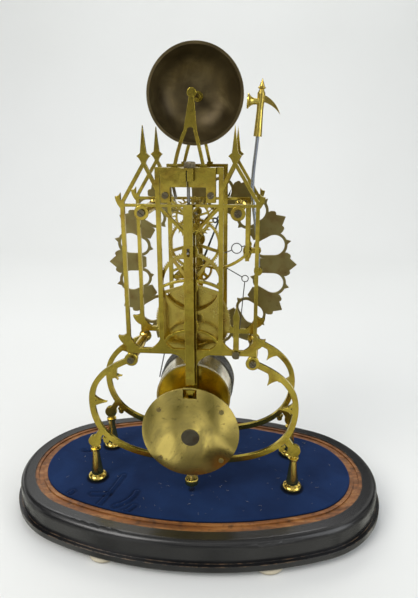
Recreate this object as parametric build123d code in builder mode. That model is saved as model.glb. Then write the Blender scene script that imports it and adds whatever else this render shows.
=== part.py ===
"""Single-fusee skeleton clock with a passing-strike bell, on an oval wooden plinth.

Millimetres. +Z is up, z = 0 is the table, and the origin is under the plinth's centre.
The dial faces -Y. The pendulum, the crutch and the bell stand's open side face +Y.
"""

import math
import os

from build123d import *

os.makedirs("parts", exist_ok=True)

# ---------------------------------------------------------------- driving dimensions
# Plinth: an oval of four arcs, the same centres for every offset of it.
END_CENTRE_X = 75.0
SIDE_CENTRE_Y = 180.0
VELVET_END_R = 55.0
GROOVE_W = 10.0
RIM_W = 12.0
LOWER_MOULD_W = 3.0
BUN_H = 5.0
PLINTH_TOP = 28.6
VELVET_TOP = 29.7
GROOVE_DEPTH = 3.0

# Frame: two like plates held apart by four pillars, standing on four turned columns.
PLATE_Y = 24.4
PLATE_T = 3.2
BAR_W = 4.4
UPRIGHT_W = 2.8
INNER_UPRIGHT_W = 3.3
FOOT_X = 80.7
FOOT_Z = 64.7
LOWER_PILLAR = (46.7, 138.8)
UPPER_PILLAR = (34.2, 251.6)
CROSSBAR_Z = 146.3
TOP_BAR_Z = 256.7
OUTER_UPRIGHT_X = 48.0
INNER_UPRIGHT_X = 22.3
SPIRE_X = 31.6
SPIRE_GUARD_Z = 290.7
SPIRE_TIP_Z = 310.7

# Arbors, all on the centre line.
BARREL_Z = 104.0
FUSEE_Z = 166.9
CENTRE_Z = 197.9
THIRD_Z = 224.0
ESCAPE_Z = 246.0
PIVOT_R = 0.8
PIVOT_CLEAR = 0.05

# Wheel train: teeth of each wheel and pinion.
GREAT_TEETH = 96
CENTRE_PINION = 8
CENTRE_TEETH = 84
THIRD_PINION = 7
THIRD_TEETH = 78
ESCAPE_PINION = 7
ESCAPE_TEETH = 30
WHEEL_T = 1.6

# Dial
DIAL_Y = -51.4
RING_T = 1.8

# Pendulum
PENDULUM_Y = 34.0
FLEXURE_Z = 277.0
BOB_Z = 84.3
BOB_R = 37.8
ROD_W = 6.6
ROD_T = 2.0

# Bell
BELL_X = -2.5
BELL_Z = 331.0
BELL_R = 34.0


def facing(y):
    """Upright plane at y: local x, y are X, Z, and an extrusion runs towards the dial."""
    return Plane.XZ.offset(-y)


def turned(x, z, *steps):
    """Coaxial discs along Y through (x, z) for the open part; each is (back y, front y, radius)."""
    for back, front, radius in steps:
        with BuildSketch(facing(back)) as disc:
            with Locations((x, z)):
                Circle(radius)
        extrude(disc.sketch, amount=back - front)


def drilled(x, z, back, front, radius):
    """A hole along Y in the open part, from back to front."""
    with BuildSketch(facing(back)) as hole:
        with Locations((x, z)):
            Circle(radius)
    extrude(hole.sketch, amount=back - front, mode=Mode.SUBTRACT)


def oval(offset_out):
    """The plinth's outline moved out by offset_out: two end arcs and two side arcs, tangent."""
    end_r = VELVET_END_R + offset_out
    centres = math.hypot(END_CENTRE_X, SIDE_CENTRE_Y)
    side_y = end_r + centres - SIDE_CENTRE_Y
    join_x = END_CENTRE_X + end_r * END_CENTRE_X / centres
    join_y = end_r * SIDE_CENTRE_Y / centres
    with BuildSketch(mode=Mode.PRIVATE) as outline:
        with BuildLine():
            ThreePointArc((-join_x, join_y), (0, side_y), (join_x, join_y))
            ThreePointArc((join_x, join_y), (END_CENTRE_X + end_r, 0), (join_x, -join_y))
            ThreePointArc((join_x, -join_y), (0, -side_y), (-join_x, -join_y))
            ThreePointArc((-join_x, -join_y), (-END_CENTRE_X - end_r, 0), (-join_x, join_y))
        make_face()
    return outline.sketch


def toothed(teeth, pitch_r, addendum, dedendum, share, lean=0.35, turn=0.0):
    """A toothed disc's outline. share is a tooth's part of the pitch; lean is its tip's part of that."""
    half = math.pi * share / teeth
    points = []
    for tooth in range(teeth):
        middle = turn + 2 * math.pi * tooth / teeth
        for radius, angle in (
            (pitch_r - dedendum, -half),
            (pitch_r, -half),
            (pitch_r + addendum, -half * lean),
            (pitch_r + addendum, half * lean),
            (pitch_r, half),
            (pitch_r - dedendum, half),
        ):
            points.append((radius * math.sin(middle + angle), radius * math.cos(middle + angle)))
    with BuildSketch(mode=Mode.PRIVATE) as disc:
        with BuildLine():
            Polyline(*points, close=True)
        make_face()
    return disc.sketch


def strip(start, end, width):
    """A straight bar between two points, as a face in the open sketch."""
    dx, dy = end[0] - start[0], end[1] - start[1]
    with Locations(Location(((start[0] + end[0]) / 2, (start[1] + end[1]) / 2, 0))):
        Rectangle(math.hypot(dx, dy), width, rotation=math.degrees(math.atan2(dy, dx)))


# ---------------------------------------------------------------- plinth
rim_offset = GROOVE_W + RIM_W
with BuildPart() as plinth:
    with BuildSketch(Plane.XY.offset(BUN_H)):
        add(oval(rim_offset + LOWER_MOULD_W))
    extrude(amount=6.0)
    with BuildSketch(Plane.XY.offset(BUN_H + 6.0)):
        add(oval(rim_offset))
    extrude(amount=PLINTH_TOP - BUN_H - 6.0)
    fillet(plinth.faces().sort_by(Axis.Z)[-1].outer_wire().edges(), 5.0)
    with BuildSketch(Plane.XY.offset(PLINTH_TOP)):
        add(oval(GROOVE_W))
    extrude(amount=-GROOVE_DEPTH, mode=Mode.SUBTRACT)
    fillet(plinth.faces().sort_by(Axis.Z)[0].outer_wire().edges(), 1.6)
plinth.part.label = "plinth"
export_step(plinth.part, "parts/plinth.step")

with BuildPart() as groove_ring:
    with BuildSketch(Plane.XY.offset(PLINTH_TOP - GROOVE_DEPTH)):
        add(oval(GROOVE_W))
        add(oval(0.0), mode=Mode.SUBTRACT)
    extrude(amount=GROOVE_DEPTH - 0.8)
    with BuildSketch(Plane.XY.offset(PLINTH_TOP - 0.8)):
        add(oval(GROOVE_W - 2.5))
        add(oval(3.0), mode=Mode.SUBTRACT)
    extrude(amount=-1.2, mode=Mode.SUBTRACT)
groove_ring.part.label = "groove_ring"
export_step(groove_ring.part, "parts/groove_ring.step")

with BuildPart() as velvet_pad:
    with BuildSketch(Plane.XY.offset(PLINTH_TOP - GROOVE_DEPTH)):
        add(oval(-0.1))
    extrude(amount=VELVET_TOP - PLINTH_TOP + GROOVE_DEPTH)
velvet_pad.part.label = "velvet_pad"
export_step(velvet_pad.part, "parts/velvet_pad.step")

BUN_R = 11.5
BUN_SPOTS = [(sx * 62.0, sy * 76.0) for sx in (-1, 1) for sy in (-1, 1)]
with BuildPart() as bun_feet:
    for spot in BUN_SPOTS:
        with BuildSketch(Plane.XY):
            with Locations(spot):
                Circle(BUN_R)
    extrude(amount=BUN_H)
    fillet(bun_feet.faces().sort_by(Axis.Z)[:4].edges(), 2.0)
bun_feet.part.label = "bun_feet"
export_step(bun_feet.part, "parts/bun_feet.step")

# Turned foot columns: torus base, tapered shaft, ring and a round boss the plates sit against.
COLUMN_TOP_R = 2.7
COLUMN_BASE_R = 7.75
PLATE_FOOT_R = 5.2
with BuildPart() as foot_columns:
    for side in (-1, 1):
        for row in (-PLATE_Y, PLATE_Y):
            ring_z = FOOT_Z - 6.4
            column = Plane(origin=(side * FOOT_X, row, 0), x_dir=(1, 0, 0), z_dir=(0, -1, 0))
            with BuildSketch(column):
                with BuildLine():
                    Polyline((0, VELVET_TOP), (COLUMN_BASE_R - 0.8, VELVET_TOP))
                    Line((COLUMN_BASE_R - 0.8, VELVET_TOP), (COLUMN_BASE_R, VELVET_TOP + 0.8))
                    ThreePointArc(
                        (COLUMN_BASE_R, VELVET_TOP + 0.8),
                        (COLUMN_BASE_R - 0.3, VELVET_TOP + 3.0),
                        (COLUMN_BASE_R - 1.8, VELVET_TOP + 4.4),
                    )
                    Polyline(
                        (COLUMN_BASE_R - 1.8, VELVET_TOP + 4.4),
                        (4.9, VELVET_TOP + 5.0),
                        (4.9, VELVET_TOP + 7.2),
                    )
                    Spline(
                        (4.9, VELVET_TOP + 7.2),
                        (3.9, VELVET_TOP + 15.0),
                        (COLUMN_TOP_R, ring_z - 2.4),
                    )
                    Polyline(
                        (COLUMN_TOP_R, ring_z - 2.4),
                        (4.2, ring_z - 1.8),
                        (4.2, ring_z),
                        (2.2, ring_z + 0.5),
                        (2.2, FOOT_Z - PLATE_FOOT_R),
                        (0, FOOT_Z - PLATE_FOOT_R),
                        (0, VELVET_TOP),
                    )
                make_face()
            axis = Axis((side * FOOT_X, row, 0), (0, 0, 1))
            revolve(axis=axis)
foot_columns.part.label = "foot_columns"
export_step(foot_columns.part, "parts/foot_columns.step")

# ---------------------------------------------------------------- plates
HEAD_TOP_Z = 283.0
BOSS_R = 4.6
PILLAR_HOLE_R = 2.0
HEAD_BAR_Z = 280.6
STEM_W = 8.0


def plate_half():
    """The +X half of a plate, without its bosses."""
    with BuildSketch(mode=Mode.PRIVATE) as half:
        strip((OUTER_UPRIGHT_X, CROSSBAR_Z - 4), (OUTER_UPRIGHT_X, TOP_BAR_Z + 3.5), UPRIGHT_W)
        strip((INNER_UPRIGHT_X, CROSSBAR_Z), (INNER_UPRIGHT_X, HEAD_TOP_Z), INNER_UPRIGHT_W)
        strip((0, CROSSBAR_Z), (OUTER_UPRIGHT_X, CROSSBAR_Z), 4.0)
        strip((0, TOP_BAR_Z), (OUTER_UPRIGHT_X + 1, TOP_BAR_Z), 2.0)
        bar_end = (INNER_UPRIGHT_X + INNER_UPRIGHT_W / 2, HEAD_BAR_Z)
        strip((0, HEAD_BAR_Z), bar_end, HEAD_TOP_Z * 2 - HEAD_BAR_Z * 2)
        # Gable: two raking limbs carry a spire with a pointed guard and a long blade.
        strip((OUTER_UPRIGHT_X, TOP_BAR_Z + 2), (SPIRE_X, SPIRE_GUARD_Z - 5), 2.4)
        strip((INNER_UPRIGHT_X, TOP_BAR_Z + 10), (SPIRE_X, SPIRE_GUARD_Z - 5), 2.4)
        with BuildLine(mode=Mode.PRIVATE) as edge:
            guard = SPIRE_GUARD_Z
            base, corner, waist = (1.2, guard - 7), (4.6, guard - 0.4), (2.1, guard + 1.8)
            tip = (SPIRE_X, SPIRE_TIP_Z)
            for side in (-1, 1):
                foot, wing, root = ((SPIRE_X + side * across, z) for across, z in (base, corner, waist))
                ThreePointArc(foot, (SPIRE_X + side * 2.2, guard - 3.2), wing)
                Polyline(wing, root, tip)
            Line((SPIRE_X - base[0], base[1]), (SPIRE_X + base[0], base[1]))
        make_face(edge.edges())
        # Horns that curl outwards and up from the outer upright, top and bottom.
        for horn_z, reach in ((TOP_BAR_Z - 2.2, 5.0), (CROSSBAR_Z + 3.2, 8.0)):
            with BuildLine(mode=Mode.PRIVATE) as edge:
                root = (OUTER_UPRIGHT_X + 1.2, horn_z)
                tip = (OUTER_UPRIGHT_X + reach, horn_z + 8.4)
                crook = (OUTER_UPRIGHT_X + 1.2, horn_z + 10.8)
                ThreePointArc(root, (OUTER_UPRIGHT_X + reach * 0.72, horn_z + 3.4), tip)
                hollow = ((tip[0] + crook[0] - 0.1 * reach) / 2, (tip[1] + crook[1] - 0.3 * reach) / 2)
                ThreePointArc(tip, hollow, crook)
                Line(crook, root)
            make_face(edge.edges())
        # Braces of the train bars: a V below the top bar and two pointed arches.
        strip((INNER_UPRIGHT_X, TOP_BAR_Z), (0, 233.0), 2.0)
        for spring_z, crown_z in ((196.5, CENTRE_Z + 4.5), (FUSEE_Z - 16, FUSEE_Z - 4)):
            with BuildLine(mode=Mode.PRIVATE) as arch:
                Spline((INNER_UPRIGHT_X, spring_z), (INNER_UPRIGHT_X * 0.5, crown_z - 1.4), (0, crown_z))
            trace(arch.line, 1.8)
        # Gussets in the corners over the crossbar, with curved edges.
        corners = ((OUTER_UPRIGHT_X - 1, -1), (INNER_UPRIGHT_X + 1, 1), (INNER_UPRIGHT_X - 1, -1))
        for corner_x, turn in corners:
            with BuildLine(mode=Mode.PRIVATE) as edge:
                side = (corner_x, CROSSBAR_Z + 12)
                floor = (corner_x + turn * 9.5, CROSSBAR_Z + 1)
                ThreePointArc(side, (corner_x + turn * 3.4, CROSSBAR_Z + 5.2), floor)
                Polyline(floor, (corner_x, CROSSBAR_Z + 1), side)
            make_face(edge.edges())
        with BuildLine(mode=Mode.PRIVATE) as edge:
            low = (STEM_W / 2 - 0.5, CROSSBAR_Z - 13)
            high = (STEM_W / 2 + 10, CROSSBAR_Z - 2)
            ThreePointArc(low, (STEM_W / 2 + 3.2, CROSSBAR_Z - 5.8), high)
            Polyline(high, (STEM_W / 2 - 0.5, CROSSBAR_Z - 2), low)
        make_face(edge.edges())
        # Leg: one sweeping scroll from the lower pillar out over the foot and back under the barrel.
        with BuildLine(mode=Mode.PRIVATE) as scroll:
            widest = (FOOT_X, 101.0)
            Bezier(LOWER_PILLAR, (58, 133.5), (FOOT_X, 125), widest)
            Bezier(widest, (FOOT_X, 68), (56, 51.6), (0, 51.6))
        for stretch in scroll.edges():
            trace(stretch, BAR_W)
        # Horned spur into the leg's hollow, pierced once, and a cusp under the pillar.
        with BuildLine(mode=Mode.PRIVATE) as edge:
            ThreePointArc((80.6, 96.0), (74.8, 98.9), (68.4, 100.8))
            ThreePointArc((68.4, 100.8), (75.8, 103.6), (80.4, 108.6))
            Line((80.4, 108.6), (80.6, 96.0))
        make_face(edge.edges())
        with Locations((77.4, 101.6)):
            Circle(0.8, mode=Mode.SUBTRACT)
        with BuildLine(mode=Mode.PRIVATE) as edge:
            ThreePointArc((69.0, 125.2), (63.6, 124.2), (58.2, 120.4))
            ThreePointArc((58.2, 120.4), (59.2, 127.0), (57.6, 132.6))
            Line((57.6, 132.6), (69.0, 125.2))
        make_face(edge.edges())
        # Knob on a short neck beside the foot.
        strip((73.6, 68.8), (71.4, 66.2), 1.8)
        with Locations((71.0, 65.8)):
            Circle(2.3)
        with Locations((FOOT_X, FOOT_Z)):
            Circle(PLATE_FOOT_R)
        strip((FOOT_X, FOOT_Z), (74.6, 74.0), 5.0)
    return half.sketch


def plate(y_back, barrel_hole, fusee_hole, centre_hole, pallet_hole):
    """One plate, its back face at y_back, with its arbor holes."""
    with BuildPart() as body:
        with BuildSketch(facing(y_back)) as outline:
            half = plate_half()
            add(half)
            add(mirror(half, about=Plane.YZ, mode=Mode.PRIVATE))
            strip((0, BARREL_Z - 8), (0, 236.0), STEM_W)
            for centre in (BARREL_Z, FUSEE_Z, CENTRE_Z, THIRD_Z):
                with Locations((0, centre)):
                    Circle(BOSS_R + 1.2)
            strip((0, 232.0), (0, ESCAPE_Z + 3), 4.0)
            with Locations((0, ESCAPE_Z)):
                Circle(3.4)
            for side in (-1, 1):
                with Locations((side * UPPER_PILLAR[0], UPPER_PILLAR[1])):
                    Circle(BOSS_R)
                with Locations((side * LOWER_PILLAR[0], LOWER_PILLAR[1])):
                    Circle(BOSS_R)
        extrude(outline.sketch, amount=PLATE_T)
        if pallet_hole:
            with BuildSketch(facing(y_back)) as boss:
                with Locations((0, FLEXURE_Z)):
                    Circle(3.6)
            extrude(boss.sketch, amount=PLATE_T)
            drilled(0, FLEXURE_Z, y_back, y_back - PLATE_T, pallet_hole)
        drilled(0, BARREL_Z, y_back, y_back - PLATE_T, barrel_hole)
        drilled(0, FUSEE_Z, y_back, y_back - PLATE_T, fusee_hole)
        drilled(0, CENTRE_Z, y_back, y_back - PLATE_T, centre_hole)
        for centre in (THIRD_Z, ESCAPE_Z):
            drilled(0, centre, y_back, y_back - PLATE_T, PIVOT_R + PIVOT_CLEAR)
        for side in (-1, 1):
            for x, z in (UPPER_PILLAR, LOWER_PILLAR):
                drilled(side * x, z, y_back, y_back - PLATE_T, PILLAR_HOLE_R)
    return body.part


PLATE_OUT = PLATE_Y + PLATE_T / 2
PLATE_IN = PLATE_Y - PLATE_T / 2
BARREL_ARBOR_R = 3.0
FUSEE_PIVOT_R = 2.0
CENTRE_PIVOT_R = 1.4
back_plate = plate(
    PLATE_OUT, BARREL_ARBOR_R, FUSEE_PIVOT_R + PIVOT_CLEAR, CENTRE_PIVOT_R + PIVOT_CLEAR, None
)
back_plate.label = "back_plate"
export_step(back_plate, "parts/back_plate.step")
front_plate = plate(
    -PLATE_IN,
    BARREL_ARBOR_R,
    FUSEE_PIVOT_R + PIVOT_CLEAR,
    CENTRE_PIVOT_R + PIVOT_CLEAR,
    PIVOT_R + PIVOT_CLEAR,
)
front_plate.label = "front_plate"
export_step(front_plate, "parts/front_plate.step")

# Pillars: turned, with a collar at each end and a swell in the middle.
with BuildPart() as plate_pillars:
    for side in (-1, 1):
        for x, z in (UPPER_PILLAR, LOWER_PILLAR):
            pillar = Plane(origin=(side * x, 0, z), x_dir=(1, 0, 0), z_dir=(0, 0, 1))
            with BuildSketch(pillar):
                with BuildLine():
                    Polyline(
                        (0, -PLATE_IN),
                        (4.4, -PLATE_IN),
                        (4.4, -PLATE_IN + 2.2),
                        (3.0, -PLATE_IN + 3.2),
                    )
                    ThreePointArc((3.0, -PLATE_IN + 3.2), (3.9, 0), (3.0, PLATE_IN - 3.2))
                    Polyline(
                        (3.0, PLATE_IN - 3.2),
                        (4.4, PLATE_IN - 2.2),
                        (4.4, PLATE_IN),
                        (0, PLATE_IN),
                        (0, -PLATE_IN),
                    )
                make_face()
            revolve(axis=Axis((side * x, 0, z), (0, 1, 0)))
plate_pillars.part.label = "plate_pillars"
export_step(plate_pillars.part, "parts/plate_pillars.step")

# Screws through each plate into the pillars; the dial pillars take the upper front places.
SCREW_SPOTS = [
    (side * x, z, end)
    for side in (-1, 1)
    for x, z in (UPPER_PILLAR, LOWER_PILLAR)
    for end in (-1, 1)
    if end > 0 or z < CENTRE_Z
]
WASHER_T = 1.0
with BuildPart() as pillar_washers:
    for x, z, end in SCREW_SPOTS:
        back = PLATE_OUT + WASHER_T if end > 0 else -PLATE_OUT
        turned(x, z, (back, back - WASHER_T, 5.3))
        drilled(x, z, back, back - WASHER_T, 2.1)
    outer_rims = pillar_washers.edges().filter_by(GeomType.CIRCLE).filter_by(lambda e: e.radius > 4)
    chamfer(outer_rims, 0.3)
pillar_washers.part.label = "pillar_washers"
export_step(pillar_washers.part, "parts/pillar_washers.step")

with BuildPart() as pillar_screws:
    for x, z, end in SCREW_SPOTS:
        face = end * (PLATE_OUT + WASHER_T)
        tip = end * (PLATE_OUT + WASHER_T + 2.2)
        inner = end * PLATE_IN
        turned(x, z, (max(face, tip), min(face, tip), 2.7), (max(inner, face), min(inner, face), 1.95))
        with BuildSketch(facing(max(face, tip) if end > 0 else tip + 0.8)) as slot:
            with Locations(Location((x, z, 0))):
                Rectangle(7.0, 0.7, rotation=40 * end)
        extrude(slot.sketch, amount=0.8, mode=Mode.SUBTRACT)
pillar_screws.part.label = "pillar_screws"
export_step(pillar_screws.part, "parts/pillar_screws.step")

# ---------------------------------------------------------------- wheel train
WHEEL_SHARE = 0.42
LEAF_SHARE = 0.30


def module_of(low_z, high_z, wheel, pinion):
    """Module that puts a wheel and a pinion in mesh at the distance of their arbors."""
    return 2 * (high_z - low_z) / (wheel + pinion)


def crossed(teeth, module, arms, rim, hub, turn=0.0):
    """A wheel: toothed rim, straight arms and a hub disc."""
    pitch_r = module * teeth / 2
    with BuildSketch(mode=Mode.PRIVATE) as wheel:
        add(toothed(teeth, pitch_r, 0.7 * module, 0.9 * module, WHEEL_SHARE, turn=turn))
        inner = pitch_r - 0.9 * module - rim
        Circle(inner, mode=Mode.SUBTRACT)
        for arm in range(arms):
            angle = 2 * math.pi * arm / arms + math.pi / arms
            strip((0, 0), ((inner + 0.4) * math.sin(angle), (inner + 0.4) * math.cos(angle)), 2.4)
        Circle(hub)
    return wheel.sketch


def train_wheel(z, back, teeth, module, arms, rim, hub, bore, x=0.0, turn=0.0, thick=WHEEL_T):
    """A crossed wheel standing on the arbor at (x, z), its back face at back."""
    place = Plane(origin=(x, back, z), x_dir=(1, 0, 0), z_dir=(0, -1, 0))
    with BuildPart() as body:
        with BuildSketch(place) as outline:
            add(crossed(teeth, module, arms, rim, hub, turn))
            Circle(bore, mode=Mode.SUBTRACT)
        extrude(outline.sketch, amount=thick)
    return body.part


def leaves(z, back, front, teeth, module, x=0.0, turn=0.0):
    """A pinion's leaves, added to the open part."""
    place = Plane(origin=(x, back, z), x_dir=(1, 0, 0), z_dir=(0, -1, 0))
    with BuildSketch(place) as outline:
        add(toothed(teeth, module * teeth / 2, 0.5 * module, 1.25 * module, LEAF_SHARE, 0.6, turn))
    extrude(outline.sketch, amount=back - front)


great_m = module_of(FUSEE_Z, CENTRE_Z, GREAT_TEETH, CENTRE_PINION)
centre_m = module_of(CENTRE_Z, THIRD_Z, CENTRE_TEETH, THIRD_PINION)
third_m = module_of(THIRD_Z, ESCAPE_Z, THIRD_TEETH, ESCAPE_PINION)
SHAKE = 0.3
GREAT_Y = 13.0
CENTRE_Y = 19.4
THIRD_Y = -4.0
ESCAPE_Y = 8.0
CENTRE_ARBOR_R = 1.7
FRONT_ARBOR_R = 1.2
HANDS_FRONT = -60.0

with BuildPart() as centre_arbor:
    turned(
        0,
        CENTRE_Z,
        (PLATE_OUT - 0.2, PLATE_IN - SHAKE, CENTRE_PIVOT_R),
        (PLATE_IN - SHAKE, -PLATE_IN + SHAKE, CENTRE_ARBOR_R),
        (-PLATE_IN + SHAKE, -PLATE_OUT - 0.6, CENTRE_PIVOT_R),
        (-PLATE_OUT - 0.6, HANDS_FRONT, FRONT_ARBOR_R),
    )
    leaves(CENTRE_Z, 15.6, 8.6, CENTRE_PINION, great_m, turn=math.pi / CENTRE_PINION)
centre_arbor.part.label = "centre_arbor"
export_step(centre_arbor.part, "parts/centre_arbor.step")

centre_wheel = train_wheel(CENTRE_Z, CENTRE_Y, CENTRE_TEETH, centre_m, 5, 2.4, 4.6, CENTRE_ARBOR_R)
LIFT_PIN_R = 20.3
with BuildPart() as lifted_wheel:
    add(centre_wheel)
    turned(-LIFT_PIN_R, CENTRE_Z, (CENTRE_Y - WHEEL_T, CENTRE_Y - WHEEL_T - 3.0, 0.6))
    with BuildSketch(facing(CENTRE_Y)) as pin_seat:
        with Locations((-LIFT_PIN_R, CENTRE_Z)):
            Circle(1.5)
    extrude(pin_seat.sketch, amount=WHEEL_T)
lifted_wheel.part.label = "centre_wheel"
export_step(lifted_wheel.part, "parts/centre_wheel.step")

# Third and escape arbors: pivots in the plates, one pinion and one wheel each.
with BuildPart() as third_arbor:
    turned(
        0,
        THIRD_Z,
        (PLATE_OUT - 0.4, PLATE_IN - SHAKE, PIVOT_R),
        (PLATE_IN - SHAKE, -PLATE_IN + SHAKE, 1.25),
        (-PLATE_IN + SHAKE, -PLATE_OUT + 0.4, PIVOT_R),
    )
    leaves(THIRD_Z, 20.6, 15.6, THIRD_PINION, centre_m)
third_arbor.part.label = "third_arbor"
export_step(third_arbor.part, "parts/third_arbor.step")

third_wheel = train_wheel(THIRD_Z, THIRD_Y, THIRD_TEETH, third_m, 5, 2.0, 3.8, 1.25, thick=1.3)
third_wheel.label = "third_wheel"
export_step(third_wheel, "parts/third_wheel.step")

with BuildPart() as escape_arbor:
    turned(
        0,
        ESCAPE_Z,
        (PLATE_OUT - 0.4, PLATE_IN - SHAKE, PIVOT_R),
        (PLATE_IN - SHAKE, -PLATE_IN + SHAKE, 1.1),
        (-PLATE_IN + SHAKE, -PLATE_OUT + 0.4, PIVOT_R),
    )
    leaves(ESCAPE_Z, THIRD_Y + 2.0, THIRD_Y - 3.4, ESCAPE_PINION, third_m)
escape_arbor.part.label = "escape_arbor"
export_step(escape_arbor.part, "parts/escape_arbor.step")

ESCAPE_R = 16.0
ESCAPE_DEPTH = 3.2
escape_points = []
for tooth in range(ESCAPE_TEETH):
    start = 2 * math.pi * tooth / ESCAPE_TEETH
    for part_of_pitch, radius in (
        (0.0, ESCAPE_R - ESCAPE_DEPTH),
        (0.10, ESCAPE_R - ESCAPE_DEPTH * 0.5),
        (0.52, ESCAPE_R),
        (0.60, ESCAPE_R),
        (0.46, ESCAPE_R - ESCAPE_DEPTH * 0.6),
        (0.40, ESCAPE_R - ESCAPE_DEPTH),
    ):
        angle = start + part_of_pitch * 2 * math.pi / ESCAPE_TEETH
        escape_points.append((radius * math.sin(angle), radius * math.cos(angle)))
with BuildPart() as escape_wheel:
    with BuildSketch(Plane(origin=(0, ESCAPE_Y, ESCAPE_Z), x_dir=(1, 0, 0), z_dir=(0, -1, 0))):
        with BuildLine():
            Polyline(*escape_points, close=True)
        make_face()
        Circle(ESCAPE_R - ESCAPE_DEPTH - 1.5, mode=Mode.SUBTRACT)
        for arm in range(5):
            angle = 2 * math.pi * arm / 5
            reach = ESCAPE_R - ESCAPE_DEPTH - 1.0
            strip((0, 0), (reach * math.sin(angle), reach * math.cos(angle)), 1.6)
        Circle(3.2)
        Circle(1.1, mode=Mode.SUBTRACT)
    extrude(amount=1.0)
escape_wheel.part.label = "escape_wheel"
export_step(escape_wheel.part, "parts/escape_wheel.step")

# ---------------------------------------------------------------- fusee and barrel
FUSEE_BIG_R = 25.5
FUSEE_SMALL_R = 12.0
FUSEE_TURNS = 11
CONE_BACK = GREAT_Y - WHEEL_T - 0.6
CONE_FRONT = -16.0
FUSEE_ARBOR_R = 3.4
groove = (CONE_BACK - CONE_FRONT) / FUSEE_TURNS


def cone_radius(turn):
    """Fusee radius after so many turns from the big end, a hyperbola like the real one."""
    share = turn / FUSEE_TURNS
    return FUSEE_SMALL_R / (FUSEE_SMALL_R / FUSEE_BIG_R + (1 - FUSEE_SMALL_R / FUSEE_BIG_R) * share)


cone_points = [(FUSEE_ARBOR_R, CONE_BACK), (FUSEE_BIG_R + 1.0, CONE_BACK)]
for turn in range(FUSEE_TURNS):
    top = CONE_BACK - groove * turn
    cone_points += [
        (cone_radius(turn), top - 0.25 * groove),
        (cone_radius(turn) - 1.0, top - 0.45 * groove),
        (cone_radius(turn) - 1.0, top - 0.7 * groove),
        (cone_radius(turn + 1), top - 0.9 * groove),
    ]
cone_points += [(FUSEE_SMALL_R, CONE_FRONT), (FUSEE_ARBOR_R, CONE_FRONT)]
with BuildPart() as fusee_cone:
    with BuildSketch(Plane(origin=(0, 0, FUSEE_Z), x_dir=(1, 0, 0), z_dir=(0, 0, 1))):
        with BuildLine():
            Polyline(*cone_points, close=True)
        make_face()
    revolve(axis=Axis((0, 0, FUSEE_Z), (0, 1, 0)))
fusee_cone.part.label = "fusee_cone"
export_step(fusee_cone.part, "parts/fusee_cone.step")

# The great wheel is a plain toothed disc with a turned recess round its hub.
RECESS_OUT_R = 20.0
RECESS_IN_R = 9.0
RECESS_DEEP = 0.4
with BuildPart() as great_wheel:
    great_plane = Plane(origin=(0, GREAT_Y, FUSEE_Z), x_dir=(1, 0, 0), z_dir=(0, -1, 0))
    with BuildSketch(great_plane) as disc:
        add(toothed(GREAT_TEETH, great_m * GREAT_TEETH / 2, 0.7 * great_m, 0.9 * great_m, WHEEL_SHARE))
        Circle(FUSEE_ARBOR_R, mode=Mode.SUBTRACT)
    extrude(disc.sketch, amount=WHEEL_T)
    with BuildSketch(great_plane) as recess:
        Circle(RECESS_OUT_R)
        Circle(RECESS_IN_R, mode=Mode.SUBTRACT)
    extrude(recess.sketch, amount=RECESS_DEEP, mode=Mode.SUBTRACT)
great_wheel.part.label = "great_wheel"
export_step(great_wheel.part, "parts/great_wheel.step")

SQUARE = 3.4
with BuildPart() as fusee_arbor:
    turned(
        0,
        FUSEE_Z,
        (PLATE_OUT - 0.2, PLATE_IN - SHAKE, FUSEE_PIVOT_R),
        (PLATE_IN - SHAKE, GREAT_Y + 0.4, 2.8),
        (GREAT_Y + 0.4, CONE_FRONT, FUSEE_ARBOR_R),
        (CONE_FRONT, -PLATE_IN + SHAKE, 2.8),
        (-PLATE_IN + SHAKE, -PLATE_OUT - 2.0, FUSEE_PIVOT_R),
    )
    with BuildSketch(facing(-PLATE_OUT - 2.0)) as square:
        with Locations((0, FUSEE_Z)):
            Rectangle(SQUARE, SQUARE)
            Circle(FUSEE_PIVOT_R, mode=Mode.INTERSECT)
    extrude(square.sketch, amount=16.0)
fusee_arbor.part.label = "fusee_arbor"
export_step(fusee_arbor.part, "parts/fusee_arbor.step")

BARREL_R = 29.6
BARREL_WALL = 1.4
BARREL_BACK = 18.0
BARREL_FRONT = -19.0
CAP_T = 1.6
barrel_bore = BARREL_ARBOR_R + 0.06
with BuildPart() as barrel_drum:
    turned(0, BARREL_Z, (BARREL_BACK, BARREL_FRONT, BARREL_R))
    turned(0, BARREL_Z, (BARREL_FRONT + 1.6, BARREL_FRONT, BARREL_R + 1.3))
    drilled(0, BARREL_Z, BARREL_BACK, BARREL_FRONT + 1.6, BARREL_R - BARREL_WALL)
    drilled(0, BARREL_Z, BARREL_FRONT + 1.6, BARREL_FRONT, barrel_bore)
barrel_drum.part.label = "barrel_drum"
export_step(barrel_drum.part, "parts/barrel_drum.step")

with BuildPart() as barrel_cap:
    turned(0, BARREL_Z, (BARREL_BACK - 0.6, BARREL_BACK - 0.6 - CAP_T, BARREL_R - BARREL_WALL))
    turned(0, BARREL_Z, (BARREL_BACK + 1.0, BARREL_BACK - 0.6, 6.0))
    drilled(0, BARREL_Z, BARREL_BACK + 1.0, BARREL_BACK - 0.6 - CAP_T, barrel_bore)
barrel_cap.part.label = "barrel_cap"
export_step(barrel_cap.part, "parts/barrel_cap.step")

with BuildPart() as barrel_arbor:
    turned(0, BARREL_Z, (PLATE_OUT + 2.0, -PLATE_OUT - 6.0, BARREL_ARBOR_R))
    turned(0, BARREL_Z, (PLATE_OUT + 2.0, PLATE_OUT, 4.6))
barrel_arbor.part.label = "barrel_arbor"
export_step(barrel_arbor.part, "parts/barrel_arbor.step")

# Mainspring: a flat spiral between the arbor's side and the drum's wall.
COILS = 7
STEPS = 24
SPRING_T = 0.7
SPRING_IN_R = BARREL_ARBOR_R + 6.0
SPRING_OUT_R = BARREL_R - BARREL_WALL - 0.8


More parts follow.
